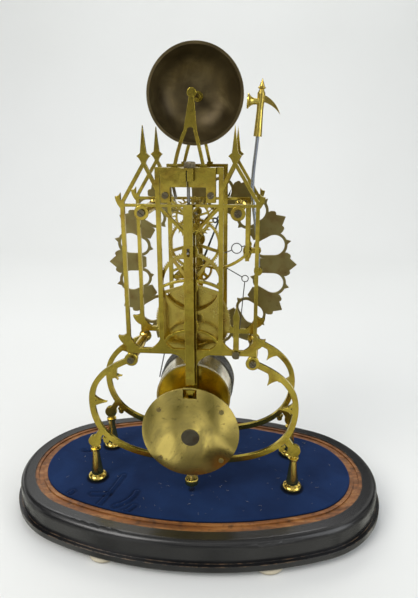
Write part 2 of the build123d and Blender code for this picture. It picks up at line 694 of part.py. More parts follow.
def spiral(extra):
    """Points of one side of the spiral strip, extra further out than its middle."""
    points = []
    for step in range(COILS * STEPS + 1):
        share = step / (COILS * STEPS)
        radius = SPRING_IN_R + (SPRING_OUT_R - SPRING_IN_R) * share + extra
        angle = 2 * math.pi * step / STEPS
        points.append((radius * math.sin(angle), radius * math.cos(angle)))
    return points


with BuildPart() as mainspring:
    spring_plane = Plane(origin=(0, 14.0, BARREL_Z), x_dir=(1, 0, 0), z_dir=(0, -1, 0))
    with BuildSketch(spring_plane):
        with BuildLine():
            Polyline(*spiral(SPRING_T / 2), *reversed(spiral(-SPRING_T / 2)), close=True)
        make_face()
    extrude(amount=29.0)
mainspring.part.label = "mainspring"
export_step(mainspring.part, "parts/mainspring.step")

# Chain: turns lying on the drum's front half, and the strand that runs up to the fusee.
CHAIN_W = 1.2
CHAIN_TURNS = 7
with BuildPart() as chain_coil:
    for lap in range(CHAIN_TURNS):
        back = BARREL_FRONT + 3.4 + lap * (CHAIN_W + 0.35)
        turned(0, BARREL_Z, (back + CHAIN_W, back, BARREL_R + CHAIN_W))
        drilled(0, BARREL_Z, back + CHAIN_W, back, BARREL_R)
chain_coil.part.label = "chain_coil"
export_step(chain_coil.part, "parts/chain_coil.step")

# The strand runs straight from the barrel's side to the fusee's groove, clear of both.
RUN_BARREL_R = BARREL_R + CHAIN_W + 0.9
RUN_FUSEE_R = 18.4
run_lean = math.asin((RUN_BARREL_R - RUN_FUSEE_R) / (FUSEE_Z - BARREL_Z))
with BuildPart() as chain_run:
    with BuildSketch(facing(-4.2)) as strand:
        strip(
            (RUN_BARREL_R * math.cos(run_lean), BARREL_Z + RUN_BARREL_R * math.sin(run_lean)),
            (RUN_FUSEE_R * math.cos(run_lean), FUSEE_Z + RUN_FUSEE_R * math.sin(run_lean)),
            CHAIN_W,
        )
    extrude(strand.sketch, amount=CHAIN_W)
chain_run.part.label = "chain_run"
export_step(chain_run.part, "parts/chain_run.step")

# Set-up ratchet on the barrel arbor, outside the front plate.
RATCHET_R = 9.0
RATCHET_TEETH = 18
ratchet_points = []
for tooth in range(RATCHET_TEETH):
    for part_of_pitch, radius in ((0.0, RATCHET_R), (0.06, RATCHET_R - 1.6)):
        angle = 2 * math.pi * (tooth + part_of_pitch) / RATCHET_TEETH
        ratchet_points.append((radius * math.sin(angle), radius * math.cos(angle)))
with BuildPart() as setup_ratchet:
    ratchet_plane = Plane(origin=(0, -PLATE_OUT, BARREL_Z), x_dir=(1, 0, 0), z_dir=(0, -1, 0))
    with BuildSketch(ratchet_plane):
        with BuildLine():
            Polyline(*ratchet_points, close=True)
        make_face()
        Circle(BARREL_ARBOR_R, mode=Mode.SUBTRACT)
    extrude(amount=2.0)
setup_ratchet.part.label = "setup_ratchet"
export_step(setup_ratchet.part, "parts/setup_ratchet.step")

# ---------------------------------------------------------------- pallets, crutch and cock
PALLET_CLEAR = 2.2
ANCHOR_Y = ESCAPE_Y + 0.6
CRUTCH_Y = 27.8
CRUTCH_PIN_Z = 225.0
COCK_PLATE_BACK = 32.6
COCK_PLATE_FRONT = 30.2
with BuildPart() as pallet_arbor:
    turned(
        0,
        FLEXURE_Z,
        (COCK_PLATE_BACK - 0.3, COCK_PLATE_FRONT - SHAKE, PIVOT_R),
        (COCK_PLATE_FRONT - SHAKE, -PLATE_IN + SHAKE, 1.2),
        (-PLATE_IN + SHAKE, -PLATE_OUT + 0.4, PIVOT_R),
    )
pallet_arbor.part.label = "pallet_arbor"
export_step(pallet_arbor.part, "parts/pallet_arbor.step")

# Anchor: a hub and two curved arms that end in pads clear of the escape wheel's tip circle.
with BuildPart() as anchor:
    pad_r = ESCAPE_R + PALLET_CLEAR
    drop = FLEXURE_Z - ESCAPE_Z
    with BuildSketch(Plane(origin=(0, ANCHOR_Y, FLEXURE_Z), x_dir=(1, 0, 0), z_dir=(0, -1, 0))):
        Circle(3.0)
        for side in (-1, 1):
            knee = (side * 14.2, -9.4)
            pad = (side * pad_r * math.sin(math.radians(42)), pad_r * math.cos(math.radians(42)) - drop)
            with BuildLine(mode=Mode.PRIVATE) as arm:
                Spline((0, 0), (side * 8.6, -3.4), knee)
            trace(arm.line, 2.0)
            strip((side * 14.0, -8.6), pad, 2.0)
        Circle(1.2, mode=Mode.SUBTRACT)
    extrude(amount=2.2)
anchor.part.label = "anchor"
export_step(anchor.part, "parts/anchor.step")

with BuildPart() as crutch:
    turned(0, FLEXURE_Z, (CRUTCH_Y + 1.6, CRUTCH_Y - 1.0, 2.8))
    with BuildSketch(facing(CRUTCH_Y + 0.6)) as stem:
        strip((0, FLEXURE_Z), (0, CRUTCH_PIN_Z), 1.9)
        with Locations((0, CRUTCH_PIN_Z)):
            Circle(2.4)
    extrude(stem.sketch, amount=1.2)
    turned(0, CRUTCH_PIN_Z, (PENDULUM_Y + 3.6, CRUTCH_Y, 0.9))
    drilled(0, FLEXURE_Z, CRUTCH_Y + 1.6, CRUTCH_Y - 1.0, 1.2)
crutch.part.label = "crutch"
export_step(crutch.part, "parts/crutch.step")

# Back cock: a bridge in plan, two feet on the back plate and a deep cross plate.
COCK_X = 19.0
COCK_FOOT_W = 6.5
COCK_TOP = 283.0
COCK_PLATE_LOW = 270.0
COCK_FOOT_LOW = 259.5
COCK_SCREW_Z = 264.5
with BuildPart() as back_cock:
    with BuildSketch(facing(COCK_PLATE_BACK)) as bridge:
        with Locations((0, (COCK_TOP + COCK_PLATE_LOW) / 2)):
            Rectangle(2 * COCK_X, COCK_TOP - COCK_PLATE_LOW)
        for side in (-1, 1):
            with Locations((side * (COCK_X - COCK_FOOT_W / 2), (COCK_TOP + COCK_FOOT_LOW) / 2)):
                Rectangle(COCK_FOOT_W, COCK_TOP - COCK_FOOT_LOW)
    extrude(bridge.sketch, amount=COCK_PLATE_BACK - COCK_PLATE_FRONT)
    with BuildSketch(facing(COCK_PLATE_FRONT)) as feet:
        for side in (-1, 1):
            with Locations((side * (COCK_X - COCK_FOOT_W / 2), (COCK_TOP + COCK_FOOT_LOW) / 2)):
                Rectangle(COCK_FOOT_W, COCK_TOP - COCK_FOOT_LOW)
    extrude(feet.sketch, amount=COCK_PLATE_FRONT - PLATE_OUT)
    drilled(0, FLEXURE_Z, COCK_PLATE_BACK, COCK_PLATE_FRONT, PIVOT_R + PIVOT_CLEAR)
    for side in (-1, 1):
        drilled(side * (COCK_X - COCK_FOOT_W / 2), COCK_SCREW_Z, COCK_PLATE_BACK, PLATE_OUT, 1.25)
back_cock.part.label = "back_cock"
export_step(back_cock.part, "parts/back_cock.step")

# Small steel screws: two hold the cock and one holds the spring post on the crossbar.
POST_X = -34.0
POST_T = 2.4
with BuildPart() as small_screws:
    for side in (-1, 1):
        x = side * (COCK_X - COCK_FOOT_W / 2)
        turned(
            x, COCK_SCREW_Z, (COCK_PLATE_BACK + 1.4, COCK_PLATE_BACK, 2.3), (COCK_PLATE_BACK, PLATE_OUT, 1.2)
        )
        with BuildSketch(facing(COCK_PLATE_BACK + 1.4)) as slot:
            with Locations(Location((x, COCK_SCREW_Z, 0))):
                Rectangle(5.0, 0.6, rotation=25 * side)
        extrude(slot.sketch, amount=0.6, mode=Mode.SUBTRACT)
    turned(POST_X, CROSSBAR_Z, (PLATE_OUT + POST_T + 1.8, PLATE_OUT + POST_T, 2.9))
small_screws.part.label = "small_screws"
export_step(small_screws.part, "parts/small_screws.step")

BLOCK_W = 9.0
BLOCK_BACK = PENDULUM_Y + 5.0
BLOCK_LOW = 274.5
SLIT_HALF = 0.45
with BuildPart() as suspension_block:
    with BuildSketch(facing(BLOCK_BACK)) as block:
        with Locations((0, (HEAD_TOP_Z + BLOCK_LOW) / 2)):
            Rectangle(BLOCK_W, HEAD_TOP_Z - BLOCK_LOW)
        with Locations((0, (FLEXURE_Z + 4.6 + BLOCK_LOW) / 2 - 1)):
            Rectangle(2 * SLIT_HALF, FLEXURE_Z + 4.6 - BLOCK_LOW + 2, mode=Mode.SUBTRACT)
    extrude(block.sketch, amount=BLOCK_BACK - COCK_PLATE_BACK)
suspension_block.part.label = "suspension_block"
export_step(suspension_block.part, "parts/suspension_block.step")

SUSPENSION_SCREW_X = -2.0
with BuildPart() as suspension_screw:
    with BuildSketch(Plane.XY.offset(HEAD_TOP_Z)) as head:
        with Locations((SUSPENSION_SCREW_X, PENDULUM_Y + 2.0)):
            Circle(3.9)
    extrude(head.sketch, amount=4.2)
    fillet(suspension_screw.faces().sort_by(Axis.Z)[-1].edges(), 1.2)
suspension_screw.part.label = "suspension_screw"
export_step(suspension_screw.part, "parts/suspension_screw.step")

# ---------------------------------------------------------------- pendulum
ROD_TOP = 258.5
SPRING_HALF_T = 0.1
with BuildPart() as suspension_spring:
    with BuildSketch(facing(PENDULUM_Y + 3.0)) as blade:
        with Locations((0, (FLEXURE_Z + 3.6 + ROD_TOP) / 2)):
            Rectangle(2 * SPRING_HALF_T, FLEXURE_Z + 3.6 - ROD_TOP)
    extrude(blade.sketch, amount=4.2)
suspension_spring.part.label = "suspension_spring"
export_step(suspension_spring.part, "parts/suspension_spring.step")

BOB_BACK = PENDULUM_Y + 4.6
SHELL_T = 1.0
NOTCH_W = 10.4
NOTCH_DEPTH = 8.5
SHELL_OPENING = 10.8
WIDE_END = BOB_Z + 32.5
SLOT_HALF = 1.0
with BuildPart() as pendulum_rod:
    with BuildSketch(facing(PENDULUM_Y + ROD_T / 2)) as bar:
        with Locations((0, (ROD_TOP + WIDE_END) / 2)):
            Rectangle(ROD_W, ROD_TOP - WIDE_END)
        with Locations((0, (WIDE_END + BOB_Z - 22) / 2)):
            Rectangle(4.0, WIDE_END - BOB_Z + 22)
        with Locations((0, CRUTCH_PIN_Z)):
            Rectangle(2 * SLOT_HALF, 6.0, mode=Mode.SUBTRACT)
    extrude(bar.sketch, amount=ROD_T)
pendulum_rod.part.label = "pendulum_rod"
export_step(pendulum_rod.part, "parts/pendulum_rod.step")

SCREW_R = 1.4
with BuildPart() as rating_screw:
    with BuildSketch(Plane.XY.offset(BOB_Z - BOB_R - 16.0)) as thread:
        with Locations((0, PENDULUM_Y)):
            Circle(SCREW_R)
    extrude(thread.sketch, amount=BOB_R + 16.0 - 22.0)
rating_screw.part.label = "rating_screw"
export_step(rating_screw.part, "parts/rating_screw.step")


def bob_disc(y_back, thick, radius):
    """A disc of the bob with the notch for the rod, from y_back towards the dial."""
    with BuildSketch(facing(y_back)) as disc:
        with Locations((0, BOB_Z)):
            Circle(radius)
        with Locations((0, BOB_Z + BOB_R)):
            Rectangle(NOTCH_W, 2 * NOTCH_DEPTH, mode=Mode.SUBTRACT)
    return extrude(disc.sketch, amount=thick, mode=Mode.PRIVATE)


CHANNEL_W = 5.0
PLUG_DROP = 4.0
PLUG_R = 7.0
BOB_WEIGHT_R = 19.0
with BuildPart() as bob_back_plate:
    add(bob_disc(BOB_BACK, SHELL_T, BOB_R))
    drilled(0, BOB_Z - PLUG_DROP, BOB_BACK, BOB_BACK - SHELL_T, PLUG_R)
bob_back_plate.part.label = "bob_back_plate"
export_step(bob_back_plate.part, "parts/bob_back_plate.step")

# The front shell is a shallow dish, domed towards the plates.
BOB_FRONT = PENDULUM_Y - 5.4
with BuildPart() as bob_front_shell:
    shell_back = BOB_BACK - SHELL_T
    with BuildSketch(Plane(origin=(0, 0, BOB_Z), x_dir=(1, 0, 0), z_dir=(0, 0, 1))):
        with BuildLine():
            Line((0, BOB_FRONT), (0, BOB_FRONT + SHELL_T))
            ThreePointArc((0, BOB_FRONT + SHELL_T), (22, BOB_FRONT + 2.6), (BOB_R - 1.2, shell_back))
            Line((BOB_R - 1.2, shell_back), (BOB_R, shell_back))
            ThreePointArc((BOB_R, shell_back), (23, BOB_FRONT + 1.7), (0, BOB_FRONT))
        make_face()
    revolve(axis=Axis((0, 0, BOB_Z), (0, 1, 0)))
    with BuildSketch(facing(PENDULUM_Y + 3)) as opening:
        with Locations((0, BOB_Z + BOB_R)):
            Rectangle(NOTCH_W, 2 * SHELL_OPENING)
        with Locations((0, BOB_Z - BOB_R + 7)):
            Rectangle(4.0, 18.0)
    extrude(opening.sketch, amount=6.4, mode=Mode.SUBTRACT)
bob_front_shell.part.label = "bob_front_shell"
export_step(bob_front_shell.part, "parts/bob_front_shell.step")

with BuildPart() as bob_weight:
    with BuildSketch(facing(BOB_BACK - SHELL_T)) as lead:
        with Locations((0, BOB_Z)):
            Circle(BOB_WEIGHT_R)
    extrude(lead.sketch, amount=6.2)
    with BuildSketch(facing(PENDULUM_Y + 1.5)) as channel:
        with Locations((0, BOB_Z)):
            Rectangle(CHANNEL_W, 60.0)
    extrude(channel.sketch, amount=3.0, mode=Mode.SUBTRACT)
    turned(0, BOB_Z - PLUG_DROP, (BOB_BACK + 0.5, BOB_BACK - SHELL_T, PLUG_R))
bob_weight.part.label = "bob_weight"
export_step(bob_weight.part, "parts/bob_weight.step")

with BuildPart() as bob_rivets:
    for side in (-1, 1):
        for rise in (-23.0, 19.0):
            turned(side * 24.0, BOB_Z + rise, (BOB_BACK + 0.5, BOB_BACK, 1.9))
bob_rivets.part.label = "bob_rivets"
export_step(bob_rivets.part, "parts/bob_rivets.step")

NUT_TOP = BOB_Z - BOB_R - 5.5
with BuildPart() as rating_nut:
    with BuildSketch(Plane.XY.offset(NUT_TOP - 5.0)) as nut:
        with Locations((0, PENDULUM_Y)):
            Circle(5.4)
            Circle(SCREW_R + 0.05, mode=Mode.SUBTRACT)
    extrude(nut.sketch, amount=5.0)
    chamfer(rating_nut.edges().filter_by(GeomType.CIRCLE).filter_by(lambda e: e.radius > 3), 0.5)
rating_nut.part.label = "rating_nut"
export_step(rating_nut.part, "parts/rating_nut.step")

# ---------------------------------------------------------------- dial and motion work
RIB_OUT = (64.5, 11.2)
RIB_IN = (55.5, 9.0)
RIB_W = 2.4
OUTER_CUSP_R = 79.0
INNER_CUSP_R = 44.0

BLOCK_EDGE = [(82.0, 0.0), (75.8, 5.4), (75.0, 9.2), (69.4, 8.9), (51.0, 5.1), (49.0, 4.2)]


def at_hour(hour, radius, across):
    """Dial point at an hour's direction: radius out from the centre and across clockwise."""
    angle = 2 * math.pi * hour / 12
    return (
        radius * math.sin(angle) + across * math.cos(angle),
        radius * math.cos(angle) - across * math.sin(angle),
    )


def dial_plane(y):
    """Plane at y with its origin on the centre arbor, seen from behind."""
    return Plane(origin=(0, y, CENTRE_Z), x_dir=(1, 0, 0), z_dir=(0, -1, 0))


def rib_hull(hour, trim):
    """Oval round the gap after an hour, trimmed in by trim."""
    with BuildSketch(mode=Mode.PRIVATE) as oval_gap:
        for centre_r, size in (RIB_OUT, RIB_IN):
            with Locations(at_hour(hour + 0.5, centre_r, 0)):
                Circle(size - trim)
        make_hull()
    return oval_gap.sketch


with BuildPart() as chapter_ring:
    with BuildSketch(dial_plane(DIAL_Y)) as ring:
        for hour in range(12):
            add(rib_hull(hour, 0))
            for cusp_r, base_r, half in ((OUTER_CUSP_R, 75.0, 2.4), (INNER_CUSP_R, 46.9, 2.0)):
                with BuildLine():
                    Polyline(
                        at_hour(hour + 0.5, base_r, -half),
                        at_hour(hour + 0.5, cusp_r, 0),
                        at_hour(hour + 0.5, base_r, half),
                        close=True,
                    )
                make_face()
        for hour in range(12):
            add(rib_hull(hour, RIB_W), mode=Mode.SUBTRACT)
        for hour in range(12):
            # Each block flares outwards and ends in three lobes, the middle one pointed.
            with BuildLine():
                for side in (-1, 1):
                    tip, saddle, lobe, waist, low, base = (
                        at_hour(hour, radius, side * across) for radius, across in BLOCK_EDGE
                    )
                    ThreePointArc(tip, at_hour(hour, 78.4, side * 3.2), saddle)
                    ThreePointArc(saddle, at_hour(hour, 76.6, side * 7.4), lobe)
                    ThreePointArc(lobe, at_hour(hour, 72.6, side * 10.3), waist)
                    ThreePointArc(waist, at_hour(hour, 61.0, side * 6.3), low)
                    Line(low, base)
                Line(at_hour(hour, 49.0, -4.2), at_hour(hour, 49.0, 4.2))
            make_face()
    extrude(amount=RING_T)
chapter_ring.part.label = "chapter_ring"
export_step(chapter_ring.part, "parts/chapter_ring.step")

# Roman numerals filled into the blocks' front faces, a hair proud of them.
STROKE = 1.5
THIN_STROKE = 0.7
NUMERAL_LOW = 56.0
NUMERAL_HIGH = 69.5
LETTER_WIDTH = {"I": 2.1, "V": 4.8, "X": 4.8}
NUMERALS = ["XII", "I", "II", "III", "IV", "V", "VI", "VII", "VIII", "IX", "X", "XI"]


def stroke(hour, low_across, high_across, width):
    """One stroke of a numeral from its inner end to its outer end."""
    start, end = at_hour(hour, NUMERAL_LOW, low_across), at_hour(hour, NUMERAL_HIGH, high_across)
    strip(start, end, width)


with BuildPart() as numerals:
    with BuildSketch(dial_plane(DIAL_Y - RING_T)) as inlay:
        for hour, text in enumerate(NUMERALS):
            place = -sum(LETTER_WIDTH[letter] for letter in text) / 2
            for letter in text:
                middle = place + LETTER_WIDTH[letter] / 2
                if letter == "I":
                    stroke(hour, middle, middle, STROKE)
                elif letter == "V":
                    stroke(hour, middle, middle - 1.7, STROKE)
                    stroke(hour, middle, middle + 1.7, THIN_STROKE)
                else:
                    stroke(hour, middle + 1.6, middle - 1.6, STROKE)
                    stroke(hour, middle - 1.6, middle + 1.6, THIN_STROKE)
                place += LETTER_WIDTH[letter]
    extrude(inlay.sketch, amount=0.15)
numerals.part.label = "numerals"
export_step(numerals.part, "parts/numerals.step")

LOWER_DIAL_PILLAR = (31.0, CROSSBAR_Z)
with BuildPart() as dial_pillars:
    for side in (-1, 1):
        for x, z in (UPPER_PILLAR, LOWER_DIAL_PILLAR):
            turned(
                side * x,
                z,
                (-PLATE_OUT, -PLATE_OUT - 1.6, 3.6),
                (-PLATE_OUT - 1.6, DIAL_Y + 1.6, 2.2),
                (DIAL_Y + 1.6, DIAL_Y, 3.2),
            )
        turned(side * UPPER_PILLAR[0], UPPER_PILLAR[1], (-PLATE_IN, -PLATE_OUT, 1.95))
dial_pillars.part.label = "dial_pillars"
export_step(dial_pillars.part, "parts/dial_pillars.step")

MOTION_M = 0.35
CANNON_TEETH = 20
MINUTE_TEETH = 60
MINUTE_PINION = 16
HOUR_TEETH = 64
MOTION_X = MOTION_M * (CANNON_TEETH + MINUTE_TEETH) / 2
MOTION_BACK = -27.6
CANNON_PIPE_R = 2.2
HOUR_PIPE_R = 3.2
HOUR_WHEEL_BACK = MOTION_BACK - 2.6
HOUR_HAND_BACK = -54.6
MINUTE_HAND_BACK = -57.0
with BuildPart() as cannon_pinion:
    leaves(CENTRE_Z, MOTION_BACK, MOTION_BACK - 1.9, CANNON_TEETH, MOTION_M)
    turned(0, CENTRE_Z, (MOTION_BACK - 1.9, MINUTE_HAND_BACK, CANNON_PIPE_R))
    drilled(0, CENTRE_Z, MOTION_BACK, MINUTE_HAND_BACK, FRONT_ARBOR_R)
cannon_pinion.part.label = "cannon_pinion"
export_step(cannon_pinion.part, "parts/cannon_pinion.step")

with BuildPart() as minute_wheel:
    place = Plane(origin=(MOTION_X, MOTION_BACK, CENTRE_Z), x_dir=(1, 0, 0), z_dir=(0, -1, 0))
    with BuildSketch(place) as rim:
        add(crossed(MINUTE_TEETH, MOTION_M, 4, 1.6, 2.8, turn=math.pi / MINUTE_TEETH))
    extrude(rim.sketch, amount=1.2)
    leaves(
        CENTRE_Z,
        MOTION_BACK - 1.2,
        HOUR_WHEEL_BACK - 1.4,
        MINUTE_PINION,
        MOTION_M,
        x=MOTION_X,
        turn=math.pi / MINUTE_PINION,
    )
    drilled(MOTION_X, CENTRE_Z, MOTION_BACK, HOUR_WHEEL_BACK - 1.4, 1.25)
minute_wheel.part.label = "minute_wheel"
export_step(minute_wheel.part, "parts/minute_wheel.step")

# The minute wheel turns on a post in a small bridge between the inner upright and the stem.
with BuildPart() as minute_post:
    with BuildSketch(facing(-PLATE_OUT)) as bridge:
        strip((BOSS_R, CENTRE_Z - 6.0), (INNER_UPRIGHT_X, CENTRE_Z - 6.0), 3.0)
        strip((MOTION_X, CENTRE_Z - 6.0), (MOTION_X, CENTRE_Z), 4.4)
        with Locations((MOTION_X, CENTRE_Z)):
            Circle(2.6)
    extrude(bridge.sketch, amount=1.2)
    turned(
        MOTION_X,
        CENTRE_Z,
        (-PLATE_OUT - 1.2, HOUR_WHEEL_BACK - 1.8, 1.2),
        (HOUR_WHEEL_BACK - 1.8, HOUR_WHEEL_BACK - 2.4, 2.0),
    )
minute_post.part.label = "minute_post"
export_step(minute_post.part, "parts/minute_post.step")

hour_bore = CANNON_PIPE_R + PIVOT_CLEAR
with BuildPart() as hour_wheel:
    place = dial_plane(HOUR_WHEEL_BACK)
    with BuildSketch(place) as rim:
        add(crossed(HOUR_TEETH, MOTION_M, 4, 1.6, 4.2))
    extrude(rim.sketch, amount=1.2)
    turned(0, CENTRE_Z, (HOUR_WHEEL_BACK - 1.2, HOUR_HAND_BACK - 1.0, HOUR_PIPE_R))
    drilled(0, CENTRE_Z, HOUR_WHEEL_BACK, HOUR_HAND_BACK - 1.0, hour_bore)
hour_wheel.part.label = "hour_wheel"
export_step(hour_wheel.part, "parts/hour_wheel.step")

SHOWN_HOUR = 5.94
HAND_T = 0.9


def hand(y_back, direction, length, eye_r, bore, blade):
    """A pointed hand with a pierced trefoil, its eye on the centre arbor."""
    with BuildPart() as body:
        with BuildSketch(dial_plane(y_back)) as outline:
            Circle(eye_r)
            with BuildLine():
                Polyline(
                    at_hour(direction, 0, -blade),
                    at_hour(direction, length * 0.62, -blade * 0.7),
                    at_hour(direction, length * 0.80, -blade * 2.0),
                    at_hour(direction, length, 0),
                    at_hour(direction, length * 0.80, blade * 2.0),
                    at_hour(direction, length * 0.62, blade * 0.7),
                    at_hour(direction, 0, blade),
                    close=True,
                )
            make_face()
            for lobe_r, across in ((0.60, 0.0), (0.56, 3.0), (0.56, -3.0)):
                with Locations(at_hour(direction, length * lobe_r, across)):
                    Circle(2.5)
            for lobe_r, across in ((0.60, 0.0), (0.56, 3.0), (0.56, -3.0)):
                with Locations(at_hour(direction, length * lobe_r, across)):
                    Circle(1.2, mode=Mode.SUBTRACT)
            Circle(bore, mode=Mode.SUBTRACT)
        extrude(outline.sketch, amount=HAND_T)
    return body.part


hour_hand = hand(HOUR_HAND_BACK, SHOWN_HOUR, 46.0, 5.2, HOUR_PIPE_R, 1.3)
hour_hand.label = "hour_hand"
export_step(hour_hand, "parts/hour_hand.step")

minute_hand = hand(MINUTE_HAND_BACK, 12 * (SHOWN_HOUR % 1), 68.0, 4.2, FRONT_ARBOR_R, 1.0)
minute_hand.label = "minute_hand"
export_step(minute_hand, "parts/minute_hand.step")

with BuildPart() as hand_collet:
    collet_back = MINUTE_HAND_BACK - HAND_T
    turned(0, CENTRE_Z, (collet_back, collet_back - 1.3, 2.8))
    drilled(0, CENTRE_Z, collet_back, collet_back - 1.3, FRONT_ARBOR_R)
hand_collet.part.label = "hand_collet"
export_step(hand_collet.part, "parts/hand_collet.step")

# ---------------------------------------------------------------- bell and its stand
STAND_T = 2.4
STAND_FOOT_X = 10.0
LEG_W = 2.3
WAIST_Z = HEAD_TOP_Z + 24.0
WAIST_HALF = 3.4
SPINDLE_R = 1.8


# Two like A-frames on the plates' head bars, their apex bosses round the bell spindle.
with BuildPart() as bell_stands:
    for stand_back in (PLATE_Y + STAND_T / 2, -PLATE_Y + STAND_T / 2):
        with BuildSketch(facing(stand_back)) as frame:
            for side in (-1, 1):
                foot = (side * STAND_FOOT_X, HEAD_TOP_Z + 0.6)
                waist = (BELL_X / 2 + side * WAIST_HALF, WAIST_Z)
                apex = (BELL_X + side * 0.2, BELL_Z)
                with BuildLine(mode=Mode.PRIVATE) as leg:
                    Bezier(foot, (side * 6.8, WAIST_Z - 9.0), waist)
                trace(leg.line, LEG_W)
                strip(waist, apex, LEG_W)
                with Locations(foot):
                    Rectangle(4.6, 2.0)
            with BuildLine():
                left, right = (BELL_X / 2 + side * WAIST_HALF for side in (-1, 1))
                ThreePointArc((left, WAIST_Z), (BELL_X / 2, WAIST_Z + 2.2), (right, WAIST_Z))
                Polyline((right, WAIST_Z), (BELL_X, BELL_Z), (left, WAIST_Z))
            make_face()
            with Locations((BELL_X, BELL_Z)):
                Circle(3.2)
                Circle(SPINDLE_R, mode=Mode.SUBTRACT)
            with Locations((0, HEAD_TOP_Z - 5.0)):
                Rectangle(60, 10, mode=Mode.SUBTRACT)
        extrude(frame.sketch, amount=STAND_T)
bell_stands.part.label = "bell_stands"
export_step(bell_stands.part, "parts/bell_stands.step")

BELL_CROWN_Y = -15.0
BELL_RIM_Y = 8.0
BELL_T = 1.6
with BuildPart() as bell_spindle:
    turned(
        BELL_X,
        BELL_Z,
        (PLATE_Y + STAND_T / 2 + 1.6, PLATE_Y + STAND_T / 2, 2.8),
        (PLATE_Y + STAND_T / 2, -PLATE_Y - STAND_T / 2, SPINDLE_R),
        (-PLATE_Y - STAND_T / 2, -PLATE_Y - STAND_T / 2 - 1.6, 2.8),
        (BELL_CROWN_Y, BELL_CROWN_Y - 1.2, 6.0),
        (BELL_CROWN_Y + BELL_T + 2.4, BELL_CROWN_Y + BELL_T, 3.6),
    )
bell_spindle.part.label = "bell_spindle"
export_step(bell_spindle.part, "parts/bell_spindle.step")

with BuildPart() as bell:
    with BuildSketch(Plane(origin=(BELL_X, 0, BELL_Z), x_dir=(1, 0, 0), z_dir=(0, 0, 1))):
        with BuildLine():
            crown_in = BELL_CROWN_Y + BELL_T
            Line((SPINDLE_R, BELL_CROWN_Y), (6.5, BELL_CROWN_Y))
            ThreePointArc((6.5, BELL_CROWN_Y), (24.5, BELL_CROWN_Y + 6.2), (BELL_R - 0.6, BELL_RIM_Y - 3))
            Polyline(
                (BELL_R - 0.6, BELL_RIM_Y - 3),
                (BELL_R, BELL_RIM_Y - 1.6),
                (BELL_R, BELL_RIM_Y),
                (BELL_R - 2.0, BELL_RIM_Y),
            )
            ThreePointArc((BELL_R - 2.0, BELL_RIM_Y), (23.4, crown_in + 6.2), (6.5, crown_in))
            Polyline((6.5, crown_in), (SPINDLE_R, crown_in), (SPINDLE_R, BELL_CROWN_Y))
        make_face()
    revolve(axis=Axis((BELL_X, 0, BELL_Z), (0, 1, 0)))
bell.part.label = "bell"
export_step(bell.part, "parts/bell.step")

# ---------------------------------------------------------------- hammer
HAMMER_X = -41.0
HAMMER_Z = 221.0
HAMMER_Y = 3.0
HEAD_Z = 329.0
STRIKE_GAP = 2.2
HEAD_X = -46.4
ROD_R = 1.3
SOCKET_Z = HEAD_Z - 26.0
HEAD_TILT = -4.0
TILT_THROW = 1.7
FACE_Z = HEAD_Z - 2.8
hammer_plane = Plane(origin=(0, HAMMER_Y, 0), x_dir=(1, 0, 0), z_dir=(0, -1, 0))
with BuildPart() as hammer_head:
    face_x = BELL_X - BELL_R - STRIKE_GAP + TILT_THROW
    with BuildSketch(hammer_plane):
        with BuildLine():
            Polyline((face_x, FACE_Z), (face_x, FACE_Z + 5.0), (face_x - 1.0, FACE_Z + 5.2))
            flare = (face_x - 1.0, FACE_Z + 5.2)
            ThreePointArc(flare, (face_x - 3.0, FACE_Z + 3.0), (face_x - 6.5, FACE_Z + 2.1))
            Polyline(
                (face_x - 6.5, FACE_Z + 2.1), (HEAD_X, FACE_Z + 2.3), (HEAD_X, FACE_Z), (face_x, FACE_Z)
            )
        make_face()
    revolve(axis=Axis((0, HAMMER_Y, FACE_Z), (1, 0, 0)))
    with BuildSketch(hammer_plane):
        with BuildLine():
            Polyline(
                (HEAD_X, HEAD_Z - 26.0),
                (HEAD_X + 3.0, HEAD_Z - 26.0),
                (HEAD_X + 2.3, HEAD_Z - 8.0),
                (HEAD_X + 2.8, HEAD_Z + 2.6),
                (HEAD_X + 1.6, HEAD_Z + 5.2),
                (HEAD_X + 2.9, HEAD_Z + 6.2),
                (HEAD_X + 1.9, HEAD_Z + 7.4),
                (HEAD_X, HEAD_Z + 12.6),
                (HEAD_X, HEAD_Z - 26.0),
            )
        make_face()
    revolve(axis=Axis((HEAD_X, HAMMER_Y, 0), (0, 0, 1)))
    with BuildSketch(facing(HAMMER_Y + 1.5)) as pick:
        with BuildLine():
            beak = (HEAD_X - 14.2, HEAD_Z - 10.4)
            ThreePointArc((HEAD_X, HEAD_Z + 2.4), (HEAD_X - 8.6, HEAD_Z - 2.2), beak)
            ThreePointArc(beak, (HEAD_X - 8.2, HEAD_Z - 5.2), (HEAD_X, HEAD_Z - 2.6))
            Line((HEAD_X, HEAD_Z - 2.6), (HEAD_X, HEAD_Z + 2.4))
        make_face()
    extrude(pick.sketch, amount=3.0)
    with BuildSketch(Plane.XY.offset(HEAD_Z - 26.0)) as socket:
        with Locations((HEAD_X, HAMMER_Y)):
            Circle(ROD_R)
    extrude(socket.sketch, amount=8.0, mode=Mode.SUBTRACT)
hammer_head.part = hammer_head.part.rotate(Axis((HEAD_X, HAMMER_Y, SOCKET_Z), (0, 1, 0)), HEAD_TILT)
hammer_head.part.label = "hammer_head"
export_step(hammer_head.part, "parts/hammer_head.step")

with BuildPart() as hammer_rod:
    with BuildLine(hammer_plane) as rod_path:
        Spline(
            (HEAD_X - 0.5, HEAD_Z - 18.2),
            (HEAD_X, SOCKET_Z),
            (-43.6, 266.0),
            (-45.6, 246.0),
            (-48.9, 216.0),
            (-49.1, 207.0),
        )
    with BuildSketch(Plane.XY.offset(HEAD_Z - 18.2)) as rod_section:
        with Locations((HEAD_X - 0.5, HAMMER_Y)):
            Circle(ROD_R - 0.02)
    sweep(rod_section.sketch, path=rod_path.line)
hammer_rod.part.label = "hammer_rod"
export_step(hammer_rod.part, "parts/hammer_rod.step")

